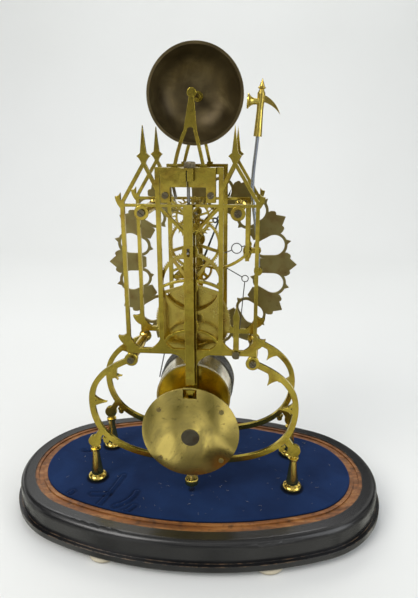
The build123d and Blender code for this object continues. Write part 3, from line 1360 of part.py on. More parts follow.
# Arbor with the boss that clamps the rod, its balance weight and the lifting tail.
TAIL_Y = 15.6
with BuildPart() as hammer_arbor:
    turned(
        HAMMER_X,
        HAMMER_Z,
        (PLATE_IN - 0.4, PLATE_IN - 2.0 - SHAKE, PIVOT_R),
        (PLATE_IN - 2.0 - SHAKE, -PLATE_IN + 2.0 + SHAKE, 1.3),
        (-PLATE_IN + 2.0 + SHAKE, -PLATE_IN + 0.4, PIVOT_R),
        (HAMMER_Y + 2.4, HAMMER_Y - 2.4, 3.6),
        (TAIL_Y, TAIL_Y - 1.8, 3.0),
    )
    with BuildSketch(facing(HAMMER_Y + 1.8)) as arm:
        strip((HAMMER_X, HAMMER_Z), (-48.4, 221.2), 4.0)
        with Locations((-48.4, 221.2)):
            Circle(2.6)
    extrude(arm.sketch, amount=3.6)
    with BuildSketch(facing(TAIL_Y)) as tail:
        with BuildLine(mode=Mode.PRIVATE) as sweep_line:
            Spline((HAMMER_X, HAMMER_Z), (-31.0, 213.4), (-21.0, 209.6))
        trace(sweep_line.line, 2.0)
    extrude(tail.sketch, amount=1.8)
    turned(-49.1, 205.4, (HAMMER_Y + 3.0, HAMMER_Y - 3.0, 3.2))
hammer_arbor.part -= hammer_rod.part
hammer_arbor.part.label = "hammer_arbor"
export_step(hammer_arbor.part, "parts/hammer_arbor.step")

with BuildPart() as hammer_brackets:
    for back in (PLATE_IN, -PLATE_IN + 2.0):
        with BuildSketch(facing(back)) as strap:
            strip((HAMMER_X, HAMMER_Z - 4.0), (HAMMER_X, TOP_BAR_Z + 1.2), 3.0)
            with Locations((HAMMER_X, HAMMER_Z)):
                Circle(2.6)
        extrude(strap.sketch, amount=2.0)
        drilled(HAMMER_X, HAMMER_Z, back, back - 2.0, PIVOT_R + PIVOT_CLEAR)
hammer_brackets.part.label = "hammer_brackets"
export_step(hammer_brackets.part, "parts/hammer_brackets.step")

# Wire springs: each is one wire with a round eye in it.
WIRE_R = 0.4


def wire(y, start, eye, eye_r, end):
    """A wire from start to an eye and on to end, all at y."""
    with BuildPart() as body:
        torus_place = Plane(origin=(eye[0], y, eye[1]), z_dir=(0, -1, 0), x_dir=(1, 0, 0))
        with Locations(torus_place):
            Torus(eye_r, WIRE_R)
        for far in (start, end):
            dx, dz = far[0] - eye[0], far[1] - eye[1]
            reach = math.hypot(dx, dz)
            root = Vector(eye[0] + dx / reach * eye_r, y, eye[1] + dz / reach * eye_r)
            along = Plane(origin=root, z_dir=(dx, 0, dz))
            with BuildSketch(along) as section:
                Circle(WIRE_R)
            extrude(section.sketch, amount=reach - eye_r)
    return body.part


with BuildPart() as hammer_springs:
    add(wire(-18.0, (-35.0, 150.0), (-38.8, 193.5), 2.6, (-22.0, 203.0)))
    add(wire(-12.0, (-38.6, 221.6), (-32.0, 219.4), 4.0, (-22.4, 215.6)))
hammer_springs.part.label = "hammer_springs"
export_step(hammer_springs.part, "parts/hammer_springs.step")

with BuildPart() as spring_post:
    with BuildSketch(facing(PLATE_OUT + POST_T)) as post:
        with BuildLine():
            Polyline(
                (POST_X - 2.2, CROSSBAR_Z - 3.4),
                (POST_X - 2.0, CROSSBAR_Z + 26.0),
                (POST_X - 2.6, CROSSBAR_Z + 29.0),
                (POST_X, CROSSBAR_Z + 38.0),
                (POST_X + 2.6, CROSSBAR_Z + 29.0),
                (POST_X + 2.0, CROSSBAR_Z + 26.0),
                (POST_X + 2.2, CROSSBAR_Z - 3.4),
                close=True,
            )
        make_face()
    extrude(post.sketch, amount=POST_T)
spring_post.part.label = "spring_post"
export_step(spring_post.part, "parts/spring_post.step")
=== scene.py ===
"""The looks of a single-fusee skeleton clock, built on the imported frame. Units are metres."""

import math
import random

import bmesh
import bpy
from mathutils import Matrix, Vector, noise


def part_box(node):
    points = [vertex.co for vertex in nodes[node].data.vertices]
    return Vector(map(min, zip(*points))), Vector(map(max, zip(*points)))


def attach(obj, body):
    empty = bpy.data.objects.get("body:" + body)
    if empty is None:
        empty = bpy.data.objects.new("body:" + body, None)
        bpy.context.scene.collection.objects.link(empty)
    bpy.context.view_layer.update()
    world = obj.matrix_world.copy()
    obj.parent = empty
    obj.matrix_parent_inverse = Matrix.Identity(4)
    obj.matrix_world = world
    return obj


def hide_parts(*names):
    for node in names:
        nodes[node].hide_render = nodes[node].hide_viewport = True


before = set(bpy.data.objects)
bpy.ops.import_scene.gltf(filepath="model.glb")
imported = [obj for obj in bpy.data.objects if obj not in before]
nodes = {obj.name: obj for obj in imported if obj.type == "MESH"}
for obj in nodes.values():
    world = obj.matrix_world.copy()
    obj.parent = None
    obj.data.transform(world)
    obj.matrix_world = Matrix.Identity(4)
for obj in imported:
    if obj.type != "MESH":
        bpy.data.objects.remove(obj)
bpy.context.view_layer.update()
MM = 0.001


# ---------------------------------------------------------------- material tools
class Tree:
    """A material's node tree, with short calls for nodes and links."""

    def __init__(self, name):
        self.material = bpy.data.materials.new(name)
        self.material.use_nodes = True
        self.tree = self.material.node_tree
        self.tree.nodes.clear()
        self.output = self.node("ShaderNodeOutputMaterial")
        self.shader = self.node("ShaderNodeBsdfPrincipled")
        self.link(self.shader.outputs["BSDF"], self.output.inputs["Surface"])
        self.place = self.node("ShaderNodeTexCoord").outputs["Object"]

    def node(self, kind, **settings):
        made = self.tree.nodes.new(kind)
        for key, value in settings.items():
            setattr(made, key, value)
        return made

    def link(self, source, target):
        self.tree.links.new(source, target)

    def feed(self, target, value):
        """Gives an input either a socket or a plain value."""
        if isinstance(value, bpy.types.NodeSocket):
            self.link(value, target)
        else:
            target.default_value = value

    def stretched(self, x, y, z):
        mapping = self.node("ShaderNodeMapping")
        mapping.inputs["Scale"].default_value = (x, y, z)
        self.link(self.place, mapping.inputs["Vector"])
        return mapping.outputs["Vector"]

    def noise(self, scale, detail=4.0, rough=0.55, place=None, distort=0.0):
        made = self.node("ShaderNodeTexNoise")
        self.link(place or self.place, made.inputs["Vector"])
        made.inputs["Scale"].default_value = scale
        made.inputs["Detail"].default_value = detail
        made.inputs["Roughness"].default_value = rough
        made.inputs["Distortion"].default_value = distort
        return made.outputs["Fac"]

    def ramp(self, value, *stops):
        """Colour ramp; each stop is (position, grey or colour)."""
        made = self.node("ShaderNodeValToRGB")
        self.link(value, made.inputs["Fac"])
        elements = made.color_ramp.elements
        while len(elements) < len(stops):
            elements.new(0.5)
        for element, (position, colour) in zip(elements, stops):
            element.position = position
            if isinstance(colour, (int, float)):
                colour = (colour, colour, colour)
            element.color = (*colour[:3], 1.0)
        return made.outputs["Color"]

    def mix(self, factor, a, b, blend="MIX"):
        made = self.node("ShaderNodeMix", data_type="RGBA", blend_type=blend)
        self.feed(made.inputs[0], factor)
        for socket, value in ((made.inputs[6], a), (made.inputs[7], b)):
            if isinstance(value, tuple):
                value = (*value[:3], 1.0)
            self.feed(socket, value)
        return made.outputs[2]

    def math(self, operation, a, b=0.5):
        made = self.node("ShaderNodeMath", operation=operation)
        self.feed(made.inputs[0], a)
        self.feed(made.inputs[1], b)
        return made.outputs[0]

    def crevice(self, distance):
        """1 in the open, 0 deep in corners."""
        made = self.node("ShaderNodeAmbientOcclusion", samples=6)
        made.inputs["Distance"].default_value = distance
        return made.outputs["AO"]

    def rounded(self, radius):
        """The surface normal with its sharp edges rounded off."""
        made = self.node("ShaderNodeBevel", samples=4)
        made.inputs["Radius"].default_value = radius
        return made.outputs["Normal"]

    def rubbed(self, radius):
        """1 along edges, where the rounded normal leaves the face's own, and 0 on flats."""
        plain = self.node("ShaderNodeNewGeometry").outputs["Normal"]
        dot = self.node("ShaderNodeVectorMath", operation="DOT_PRODUCT")
        self.link(plain, dot.inputs[0])
        self.link(self.rounded(radius), dot.inputs[1])
        return self.ramp(dot.outputs["Value"], (0.90, 1.0), (0.995, 0.0))

    def bump(self, height, distance, strength=1.0, below=None):
        made = self.node("ShaderNodeBump")
        made.inputs["Strength"].default_value = strength
        made.inputs["Distance"].default_value = distance
        self.link(height, made.inputs["Height"])
        if below is not None:
            self.link(below, made.inputs["Normal"])
        return made.outputs["Normal"]

    def finish(self, **inputs):
        for name, value in inputs.items():
            socket = self.shader.inputs[name.replace("_", " ")]
            if isinstance(value, tuple):
                value = (*value[:3], 1.0) if len(socket.default_value) == 4 else value
            self.feed(socket, value)
        return self.material


# Strength of the painted shade in metal corners, and of the paler edges that are partly wear and partly
# painted highlight.
CORNER_PAINTED_SHADE = 0.5
EDGE_WEAR_AND_HIGHLIGHT = 0.7


def metal(name, bright, mid, dark, tarnish=0.5, rough=(0.14, 0.32)):
    """Aged metal: soft tarnish patches, fine wear scratches, painted shade in the corners, and paler edges
    that are partly rubbed wear and partly a painted highlight.
    """
    t = Tree(name)
    blotch = t.noise(40.0, 4.0, 0.55, distort=0.6)
    spots = t.noise(300.0, 3.0, 0.6)
    low, high = 0.56 - 0.2 * tarnish, 0.90 - 0.2 * tarnish
    patina = t.ramp(blotch, (low - 0.14, 0.0), (high, 1.0))
    base = t.mix(patina, bright, mid)
    stain = t.ramp(t.noise(75.0, 4.0, 0.55), (0.50, 0.0), (0.70, 1.0))
    red, green, blue = mid
    base = t.mix(t.math("MULTIPLY", stain, tarnish), base, (0.80 * red, 0.50 * green, 0.45 * blue))
    speck = t.ramp(spots, (0.64, 0.0), (0.80, 1.0))
    base = t.mix(t.math("MULTIPLY", speck, tarnish * 0.7), base, dark)
    # Painted shade: corners and recesses darkened through an occlusion mask.
    deep = t.ramp(t.crevice(4 * MM), (0.25, 1.0), (0.80, 0.0))
    base = t.mix(t.math("MULTIPLY", deep, CORNER_PAINTED_SHADE), base, dark)
    # Paler edges through a bevel mask: partly rubbed wear, partly a painted highlight.
    paler = tuple(min(1.0, 1.5 * part) for part in bright)
    base = t.mix(t.math("MULTIPLY", t.rubbed(0.4 * MM), EDGE_WEAR_AND_HIGHLIGHT), base, paler)
    scratches = t.noise(900.0, 5.0, 0.7)
    sheen = t.mix(patina, (rough[0],) * 3, (rough[1],) * 3)
    sheen = t.mix(0.08, sheen, scratches)
    soft = t.noise(120.0, 2.0, 0.5)
    normal = t.bump(soft, 0.35 * MM, 0.35, below=t.rounded(0.28 * MM))
    normal = t.bump(scratches, 0.008 * MM, 0.2, below=normal)
    return t.finish(Base_Color=base, Metallic=1.0, Roughness=sheen, Normal=normal)


def streaked_brass():
    """The bob's polished plate: hand-rubbed brass with soft cloudy bands of tarnish."""
    t = Tree("bob_brass")
    bands = t.noise(26.0, 3.0, 0.5, place=t.stretched(1.0, 1.0, 0.8), distort=1.4)
    fog = t.ramp(bands, (0.42, 0.0), (0.64, 1.0))
    base = t.mix(fog, (0.72, 0.57, 0.17), (0.46, 0.37, 0.12))
    spots = t.ramp(t.noise(380.0, 2.0, 0.5), (0.64, 0.0), (0.76, 1.0))
    base = t.mix(t.math("MULTIPLY", spots, 0.5), base, (0.10, 0.07, 0.02))
    # Painted shade: the plate darkened round its rim and in corners through an occlusion mask.
    rim = t.ramp(t.crevice(4 * MM), (0.3, 1.0), (0.8, 0.0))
    base = t.mix(t.math("MULTIPLY", rim, 0.5), base, (0.12, 0.08, 0.02))
    rub = t.noise(700.0, 5.0, 0.7, place=t.stretched(0.12, 1.0, 1.0))
    sheen = t.mix(fog, (0.10,) * 3, (0.22,) * 3)
    sheen = t.mix(0.06, sheen, rub)
    swell = t.noise(22.0, 0.0, 0.5)
    normal = t.bump(swell, 6.0 * MM, 0.8, below=t.rounded(0.3 * MM))
    normal = t.bump(rub, 0.008 * MM, 0.25, below=normal)
    return t.finish(Base_Color=base, Metallic=1.0, Roughness=sheen, Normal=normal)


def bell_patina():
    """Dark bronze with cloudy brown patches, faint turning marks round the bell's axis and a painted
    highlight: a paler band round the rim.
    """
    t = Tree("bell_patina")
    cloud = t.noise(45.0, 5.0, 0.6, distort=0.8)
    low_tone, mid_tone, high_tone = (0.052, 0.036, 0.014), (0.088, 0.064, 0.025), (0.155, 0.118, 0.050)
    base = t.ramp(cloud, (0.32, low_tone), (0.55, mid_tone), (0.75, high_tone))
    low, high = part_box("bell")
    centre = (low + high) / 2
    shift = t.node("ShaderNodeVectorMath", operation="SUBTRACT")
    t.link(t.place, shift.inputs[0])
    shift.inputs[1].default_value = centre
    parts = t.node("ShaderNodeSeparateXYZ")
    t.link(shift.outputs[0], parts.inputs[0])
    across = t.math("MULTIPLY", parts.outputs["X"], parts.outputs["X"])
    upright = t.math("MULTIPLY", parts.outputs["Z"], parts.outputs["Z"])
    radius = t.math("SQRT", t.math("ADD", across, upright))
    turning = t.math("SINE", t.math("MULTIPLY", radius, 9000.0))
    # Painted highlight: everything beyond the rim radius is made paler.
    rim = t.math("GREATER_THAN", radius, 33.75 * MM)
    base = t.mix(t.math("MULTIPLY", rim, 0.35), base, (0.30, 0.24, 0.11))
    normal = t.bump(turning, 0.01 * MM, 0.10, below=t.bump(cloud, 0.2 * MM, 0.2))
    sheen = t.ramp(cloud, (0.3, 0.30), (0.7, 0.44))
    return t.finish(Base_Color=base, Metallic=0.6, Roughness=sheen, Normal=normal)


def ebonised():
    """Black polish worn along the mouldings, with fine scratches and a little dust."""
    t = Tree("ebonised_wood")
    cloud = t.noise(28.0, 6.0, 0.65)
    base = t.ramp(cloud, (0.35, (0.004, 0.004, 0.005)), (0.7, (0.010, 0.010, 0.011)))
    scuffs = t.noise(160.0, 8.0, 0.75, place=t.stretched(0.25, 0.25, 1.6))
    worn = t.ramp(scuffs, (0.66, 0.0), (0.78, 1.0))
    base = t.mix(t.math("MULTIPLY", worn, 0.22), base, (0.07, 0.065, 0.06))
    broken = t.ramp(t.noise(120.0, 6.0, 0.7), (0.46, 0.0), (0.62, 1.0))
    base = t.mix(t.math("MULTIPLY", t.rubbed(1.2 * MM), broken), base, (0.17, 0.105, 0.055))
    sheen = t.mix(worn, (0.27,) * 3, (0.45,) * 3)
    normal = t.bump(scuffs, 0.06 * MM, 0.25, below=t.bump(cloud, 0.3 * MM, 0.2, below=t.rounded(0.6 * MM)))
    return t.finish(Base_Color=base, Roughness=sheen, Normal=normal, Coat_Weight=0.2, Coat_Roughness=0.2)


def bare_wood():
    """Stained wood left bare in the groove: long grain, rubbed pale spots and dark dirt."""
    t = Tree("bare_wood")
    grain = t.noise(60.0, 8.0, 0.7, place=t.stretched(0.35, 3.0, 3.0), distort=0.5)
    dark_grain, red_grain, pale_grain = (0.07, 0.024, 0.006), (0.23, 0.083, 0.018), (0.40, 0.19, 0.06)
    base = t.ramp(grain, (0.30, dark_grain), (0.50, red_grain), (0.72, pale_grain))
    dirt = t.ramp(t.noise(150.0, 6.0, 0.7), (0.5, 0.0), (0.66, 1.0))
    base = t.mix(t.math("MULTIPLY", dirt, 0.7), base, (0.03, 0.014, 0.008))
    normal = t.bump(grain, 0.3 * MM, 0.6)
    return t.finish(Base_Color=base, Roughness=t.ramp(grain, (0.3, 0.62), (0.7, 0.42)), Normal=normal)


def velvet():
    """Deep blue pile: soft sheen, faintly brushed, with a fine nap."""
    t = Tree("blue_velvet")
    brushed = t.noise(30.0, 4.0, 0.55, distort=0.6)
    base = t.ramp(brushed, (0.30, (0.0045, 0.015, 0.055)), (0.75, (0.008, 0.026, 0.088)))
    # Painted shade: the cloth darkened in its creases and where parts stand on it, through an occlusion mask.
    folds = t.ramp(t.crevice(2.5 * MM), (0.80, 0.15), (0.985, 1.0))
    base = t.mix(1.0, base, folds, blend="MULTIPLY")
    nap = t.noise(2600.0, 3.0, 0.7)
    base = t.mix(0.3, base, t.mix(1.0, base, t.ramp(nap, (0.3, 0.3), (0.7, 1.6)), blend="MULTIPLY"))
    normal = t.bump(nap, 0.15 * MM, 0.7)
    return t.finish(
        Base_Color=base,
        Roughness=0.95,
        Normal=normal,
        Sheen_Weight=0.28,
        Sheen_Roughness=0.35,
        Sheen_Tint=(0.20, 0.30, 0.8),
        Specular_IOR_Level=0.15,
    )


def plain_rough(name, dark, pale, scale, rough):
    """A dull two-tone surface with a fine uneven skin and painted shade in its corners."""
    t = Tree(name)
    cloud = t.noise(scale, 6.0, 0.65)
    fine = t.noise(scale * 9, 4.0, 0.6)
    base = t.ramp(cloud, (0.3, dark), (0.7, pale))
    # Painted shade: the surface darkened in corners and hollows through an occlusion mask.
    dirt = t.ramp(t.crevice(4 * MM), (0.3, 0.45), (0.9, 1.0))
    base = t.mix(1.0, base, dirt, blend="MULTIPLY")
    sheen = t.mix(0.3, (rough,) * 3, fine)
    normal = t.bump(fine, 0.1 * MM, 0.5)
    return t.finish(Base_Color=base, Roughness=sheen, Normal=normal)


BRASS = metal(
    "aged_brass", (0.60, 0.47, 0.080), (0.40, 0.31, 0.050), (0.09, 0.062, 0.016), 0.45, (0.12, 0.26)
)
GOLD = metal("rubbed_brass", (0.80, 0.60, 0.15), (0.62, 0.46, 0.10), (0.14, 0.09, 0.02), 0.25, (0.10, 0.24))
DIAL = metal("dial_brass", (0.36, 0.30, 0.12), (0.25, 0.21, 0.085), (0.08, 0.062, 0.022), 0.6, (0.26, 0.45))
WHEEL = metal("wheel_brass", (0.68, 0.54, 0.13), (0.48, 0.38, 0.09), (0.08, 0.055, 0.015), 0.4, (0.16, 0.34))
# The barrel drum's brass is painted nearly white: a painted reflection of the pale room.
REFLECTION_PAINTED_BRASS = metal("brass_with_painted_reflection", (0.80, 0.76, 0.62), (0.64, 0.59, 0.44), (0.2, 0.15, 0.08), 0.3, (0.16, 0.34))
STEEL = metal("dull_steel", (0.40, 0.39, 0.38), (0.24, 0.235, 0.23), (0.05, 0.04, 0.035), 0.4, (0.16, 0.36))
SCREW = metal("dark_steel", (0.23, 0.20, 0.13), (0.13, 0.11, 0.07), (0.03, 0.025, 0.018), 0.4, (0.16, 0.34))
RODSTEEL = metal("rod_steel", (0.42, 0.46, 0.54), (0.28, 0.31, 0.38), (0.08, 0.07, 0.07), 0.4, (0.12, 0.26))
BLUED = metal("blued_steel", (0.16, 0.19, 0.27), (0.09, 0.11, 0.16), (0.04, 0.035, 0.035), 0.4, (0.16, 0.32))
IRON = metal("chain_steel", (0.20, 0.20, 0.20), (0.09, 0.09, 0.09), (0.02, 0.016, 0.014), 0.4, (0.24, 0.42))
LEAD = metal("dark_lead", (0.17, 0.155, 0.115), (0.09, 0.08, 0.055), (0.03, 0.026, 0.018), 0.7, (0.40, 0.60))
LINT = plain_rough("lint", (0.35, 0.36, 0.42), (0.55, 0.56, 0.60), 200.0, 0.9)
BOB = streaked_brass()
BELL = bell_patina()
EBONY = ebonised()
WOOD = bare_wood()
VELVET = velvet()
WAX = plain_rough("black_wax", (0.006, 0.006, 0.006), (0.02, 0.02, 0.019), 300.0, 0.5)
CREAM = plain_rough("cream_wood", (0.42, 0.36, 0.24), (0.62, 0.56, 0.42), 60.0, 0.5)

FINISHES = {
    GOLD: ["foot_columns", "plate_pillars", "rating_nut"],
    DIAL: ["chapter_ring", "dial_pillars", "bob_rivets"],
    WHEEL: [
        "centre_wheel", "third_wheel", "escape_wheel", "great_wheel", "fusee_cone",
        "cannon_pinion", "minute_wheel", "hour_wheel", "hammer_head",
    ],
    REFLECTION_PAINTED_BRASS: ["barrel_drum"],
    STEEL: [
        "centre_arbor", "third_arbor", "escape_arbor", "fusee_arbor", "barrel_arbor", "pallet_arbor",
        "anchor", "crutch", "setup_ratchet", "rating_screw", "suspension_spring",
    ],
    SCREW: ["pillar_screws", "small_screws", "suspension_screw"],
    RODSTEEL: ["hammer_rod"],
    BLUED: ["hour_hand", "minute_hand", "mainspring"],
    IRON: ["chain_coil", "chain_run", "hammer_springs"],
    LEAD: ["bob_weight"],
    BOB: ["bob_back_plate", "bob_front_shell"],
    BELL: ["bell"],
    EBONY: ["plinth"],
    WOOD: ["groove_ring"],
    VELVET: ["velvet_pad"],
    WAX: ["numerals"],
    CREAM: ["bun_feet"],
}


def paint(obj, finish):
    obj.data.materials.clear()
    obj.data.materials.append(finish)


def smooth(obj, angle=35.0):
    """Smooth faces between sharp edges; the finish rounds the edges."""
    for polygon in obj.data.polygons:
        polygon.use_smooth = True
    obj.data.set_sharp_from_angle(angle=math.radians(angle))


finish_of = {name: finish for finish, names in FINISHES.items() for name in names}
for name, obj in nodes.items():
    paint(obj, finish_of.get(name, BRASS))
    smooth(obj)


# ---------------------------------------------------------------- pieces built here
def add_piece(name, mesh, finish, body, *replaced):
    """Puts a bmesh (in metres) into the scene, painted, riding on a body and standing for CAD nodes."""
    data = bpy.data.meshes.new(name)
    mesh.to_mesh(data)
    mesh.free()
    made = bpy.data.objects.new(name, data)
    bpy.context.scene.collection.objects.link(made)
    paint(made, finish)
    smooth(made)
    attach(made, body)
    if replaced:
        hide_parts(*replaced)
    return made


def skin(mesh, rings, closed=False):
    """Quads between rings of vertices that each close on themselves."""
    pairs = list(zip(rings, rings[1:])) + ([(rings[-1], rings[0])] if closed else [])
    for lower, upper in pairs:
        count = len(lower)
        for i in range(count):
            j = (i + 1) % count
            mesh.faces.new((lower[i], lower[j], upper[j], upper[i]))


def lathe(mesh, centre, profile, segments=72, ridges=0, ridge_depth=0.0, bored=False):
    """A turned piece about an upright axis at centre; profile is (radius, z, knurled?) in mm.

    A bored piece has its hole's wall in the profile, so its ends are left open."""
    rings = []
    for radius, z, knurled in profile:
        ring = []
        for i in range(segments):
            angle = 2 * math.pi * i / segments
            cut = ridge_depth * (0.5 + 0.5 * math.cos(ridges * angle)) if knurled else 0.0
            ring.append(
                mesh.verts.new(
                    (
                        (centre[0] + (radius - cut) * math.cos(angle)) * MM,
                        (centre[1] + (radius - cut) * math.sin(angle)) * MM,
                        z * MM,
                    )
                )
            )
        rings.append(ring)
    skin(mesh, rings, closed=bored)
    if not bored:
        mesh.faces.new(list(reversed(rings[0])))
        mesh.faces.new(rings[-1])


# Plinth numbers, in mm, that the velvet and the feet share with the CAD.
VELVET_TOP = 29.7
CLOTH_SINK = 0.12
VELVET_LOW = 26.0
END_CENTRE_X = 75.0
SIDE_CENTRE_Y = 180.0
VELVET_END_R = 55.0
# Folds in the cloth, mostly round the foot nearest the camera's left. Each is a start in mm, a first
# heading in degrees, a length in mm and how far it bends along the way in degrees.
FOLDS = [
    ((60, 20), 80, 45, -10),
    ((79, 46), 180, 13, 10),
    ((44, 40), 85, 24, -60),
    ((42, 57), 65, 28, -80),
    ((99, 50), 240, 7, 0),
    ((105, -14), 185, 7, 0),
]
FOLD_STEPS = 4
CREASE_HIGH = 1.2
CREASE_WIDTH = 1.25


def oval_reach(angle, offset_out):
    """Distance from the plinth's centre to its offset outline, in a direction, in mm."""
    c, s = abs(math.cos(angle)), abs(math.sin(angle))
    end_r = VELVET_END_R + offset_out
    span = math.hypot(END_CENTRE_X, SIDE_CENTRE_Y)
    side_r = end_r + span
    by_side = math.sqrt(side_r**2 - (SIDE_CENTRE_Y * c) ** 2) - SIDE_CENTRE_Y * s
    if by_side * c <= END_CENTRE_X + end_r * END_CENTRE_X / span:
        return by_side
    return END_CENTRE_X * c + math.sqrt(end_r**2 - (END_CENTRE_X * s) ** 2)


def fold_line(start, heading, length, bend):
    """The points along a fold that bends evenly from its first heading."""
    x, y = start
    points = [(x, y)]
    for step in range(FOLD_STEPS):
        angle = math.radians(heading + bend * (step + 0.5) / FOLD_STEPS)
        x += length / FOLD_STEPS * math.cos(angle)
        y += length / FOLD_STEPS * math.sin(angle)
        points.append((x, y))
    return points


FOLD_LINES = [fold_line(*fold) for fold in FOLDS]


def crease_height(x, y):
    """A soft fold along each crease: a ridge with a shallow valley on one side of it."""
    height = 0.0
    for line in FOLD_LINES:
        nearest = 99.0
        for (ax, ay), (bx, by) in zip(line, line[1:]):
            dx, dy = bx - ax, by - ay
            along = ((x - ax) * dx + (y - ay) * dy) / (dx * dx + dy * dy)
            along = min(max(along, 0.0), 1.0)
            nearest = min(nearest, math.hypot(x - ax - along * dx, y - ay - along * dy))
        if nearest < 6.0:
            height += CREASE_HIGH * math.exp(-((nearest / CREASE_WIDTH) ** 2))
            height -= 0.5 * CREASE_HIGH * math.exp(-(((nearest - 2.4) / CREASE_WIDTH) ** 2))
    return height


def build_velvet():
    """The cloth: a fine oval grid with folds, rolled down over the board's edge."""
    mesh = bmesh.new()
    around, across, roll = 560, 120, 6
    roll_r = 1.6
    rings = []
    for ring in range(1, across + roll + 1):
        row = []
        for i in range(around):
            angle = 2 * math.pi * i / around
            if ring <= across:
                reach = oval_reach(angle, -roll_r) * (ring / across) ** 0.9
                drop = 0.0
            else:
                turn = math.pi / 2 * (ring - across) / roll
                reach = oval_reach(angle, -roll_r + roll_r * math.sin(turn))
                drop = roll_r * (1 - math.cos(turn))
                if ring == across + roll:
                    drop += VELVET_TOP - VELVET_LOW - roll_r
            x, y = reach * math.cos(angle), reach * math.sin(angle)
            place = Vector((x, y, 0.0))
            swell = 0.10 * noise.noise(place / 22.0) + 0.05 * noise.noise(place / 5.0)
            fold = crease_height(x, y) if x > 30.0 and ring <= across else 0.0
            row.append(mesh.verts.new((x * MM, y * MM, (VELVET_TOP - CLOTH_SINK + swell + fold - drop) * MM)))
        rings.append(row)
    hub = mesh.verts.new((0, 0, (VELVET_TOP - CLOTH_SINK) * MM))
    for i in range(around):
        mesh.faces.new((hub, rings[0][i], rings[0][(i + 1) % around]))
    skin(mesh, rings)
    bmesh.ops.recalc_face_normals(mesh, faces=mesh.faces)
    add_piece("velvet_cloth", mesh, VELVET, "frame", "velvet_pad")


LINT_COUNT = 150


def build_lint():
    """Short pale fibres and specks of fluff lying on the cloth."""
    dice = random.Random(7)
    mesh = bmesh.new()
    for _ in range(LINT_COUNT):
        angle = dice.uniform(0, 2 * math.pi)
        reach = oval_reach(angle, -6.0) * math.sqrt(dice.random())
        place = Vector((reach * math.cos(angle), reach * math.sin(angle), VELVET_TOP + 0.25))
        heading = dice.uniform(0, 2 * math.pi)
        length = dice.choice((0.4, 0.6, 0.9, 1.6, 2.6))
        points = []
        for _ in range(5):
            points.append(place.copy())
            heading += dice.uniform(-0.6, 0.6)
            place += Vector((math.cos(heading), math.sin(heading), dice.uniform(-0.1, 0.1))) * length / 4
        rings = []
        for here, ahead in zip(points, points[1:] + [points[-1] * 2 - points[-2]]):
            side = (ahead - here).cross(Vector((0, 0, 1))).normalized()
            up = Vector((0, 0, 1))
            corners = (side, up, -side, -up)
            rings.append([mesh.verts.new((here + corner * 0.05) * MM) for corner in corners])
        skin(mesh, rings)
    add_piece("velvet_lint", mesh, LINT, "frame")


def build_feet():
    """Flattened turned balls under the plinth."""
    profile = [(9.0, 0.0), (10.4, 0.35), (11.2, 1.3), (11.5, 2.5), (11.2, 3.7), (10.4, 4.65), (9.4, 5.0)]
    mesh = bmesh.new()
    for sx in (-1, 1):
        for sy in (-1, 1):
            lathe(mesh, (sx * 62.0, sy * 76.0), [(r, z, False) for r, z in profile])
    add_piece("turned_feet", mesh, CREAM, "frame", "bun_feet")


def build_knurled():
    """The suspension screw's head and the rating nut, both knurled for the fingers."""
    mesh = bmesh.new()
    head = [(3.4, 283.0, 0), (3.9, 283.5, 1), (3.9, 286.2, 1), (3.5, 286.9, 0), (2.6, 287.2, 0)]
    lathe(mesh, (-2.0, 36.0), head, 180, 36, 0.32)
    add_piece("knurled_screw", mesh, SCREW, "frame", "suspension_screw")
    mesh = bmesh.new()
    rim = [(1.5, 36.0, 0), (4.9, 36.0, 0), (5.4, 36.5, 1), (5.4, 40.5, 1), (4.9, 41.0, 0), (1.5, 41.0, 0)]
    lathe(mesh, (0.0, 34.0), rim, 216, 44, 0.34, bored=True)
    add_piece("knurled_nut", mesh, GOLD, "nut", "rating_nut")


# Chain: a double link and a single link in turn, on the drum and up to the fusee; the rivets are not drawn.
BARREL_Z = 104.0
DRUM_R = 29.6
CHAIN_W = 1.2
CHAIN_PITCH = 1.5
LINK_LONG = 2.35
LINK_HIGH = 1.05


def chain_plate(mesh, middle, along, outward, thick):
    """One waisted link plate; its flat sides face along Y. Lengths in mm."""
    sideways = Vector((0, 1, 0))
    outline = []
    for end in (-1, 1):
        for step in range(5):
            angle = math.pi / 2 - math.pi * step / 4
            outline.append(
                (
                    end * (LINK_LONG / 2 - LINK_HIGH / 2 + LINK_HIGH / 2 * math.cos(angle)),
                    end * LINK_HIGH / 2 * math.sin(angle),
                )
            )
        outline.append((0.0, -end * LINK_HIGH * 0.34))
    rings = []
    for side in (-1, 1):
        ring = []
        for a, b in outline:
            ring.append(mesh.verts.new((middle + along * a + outward * b + sideways * side * thick / 2) * MM))
        rings.append(ring)
    skin(mesh, rings)
    mesh.faces.new(list(reversed(rings[0])))
    mesh.faces.new(rings[1])


def chain_link(mesh, number, middle, along, outward):
    if number % 2:
        chain_plate(mesh, middle, along, outward, 0.36)
    else:
        for side in (-1, 1):
            chain_plate(mesh, middle + Vector((0, side * 0.40, 0)), along, outward, 0.30)


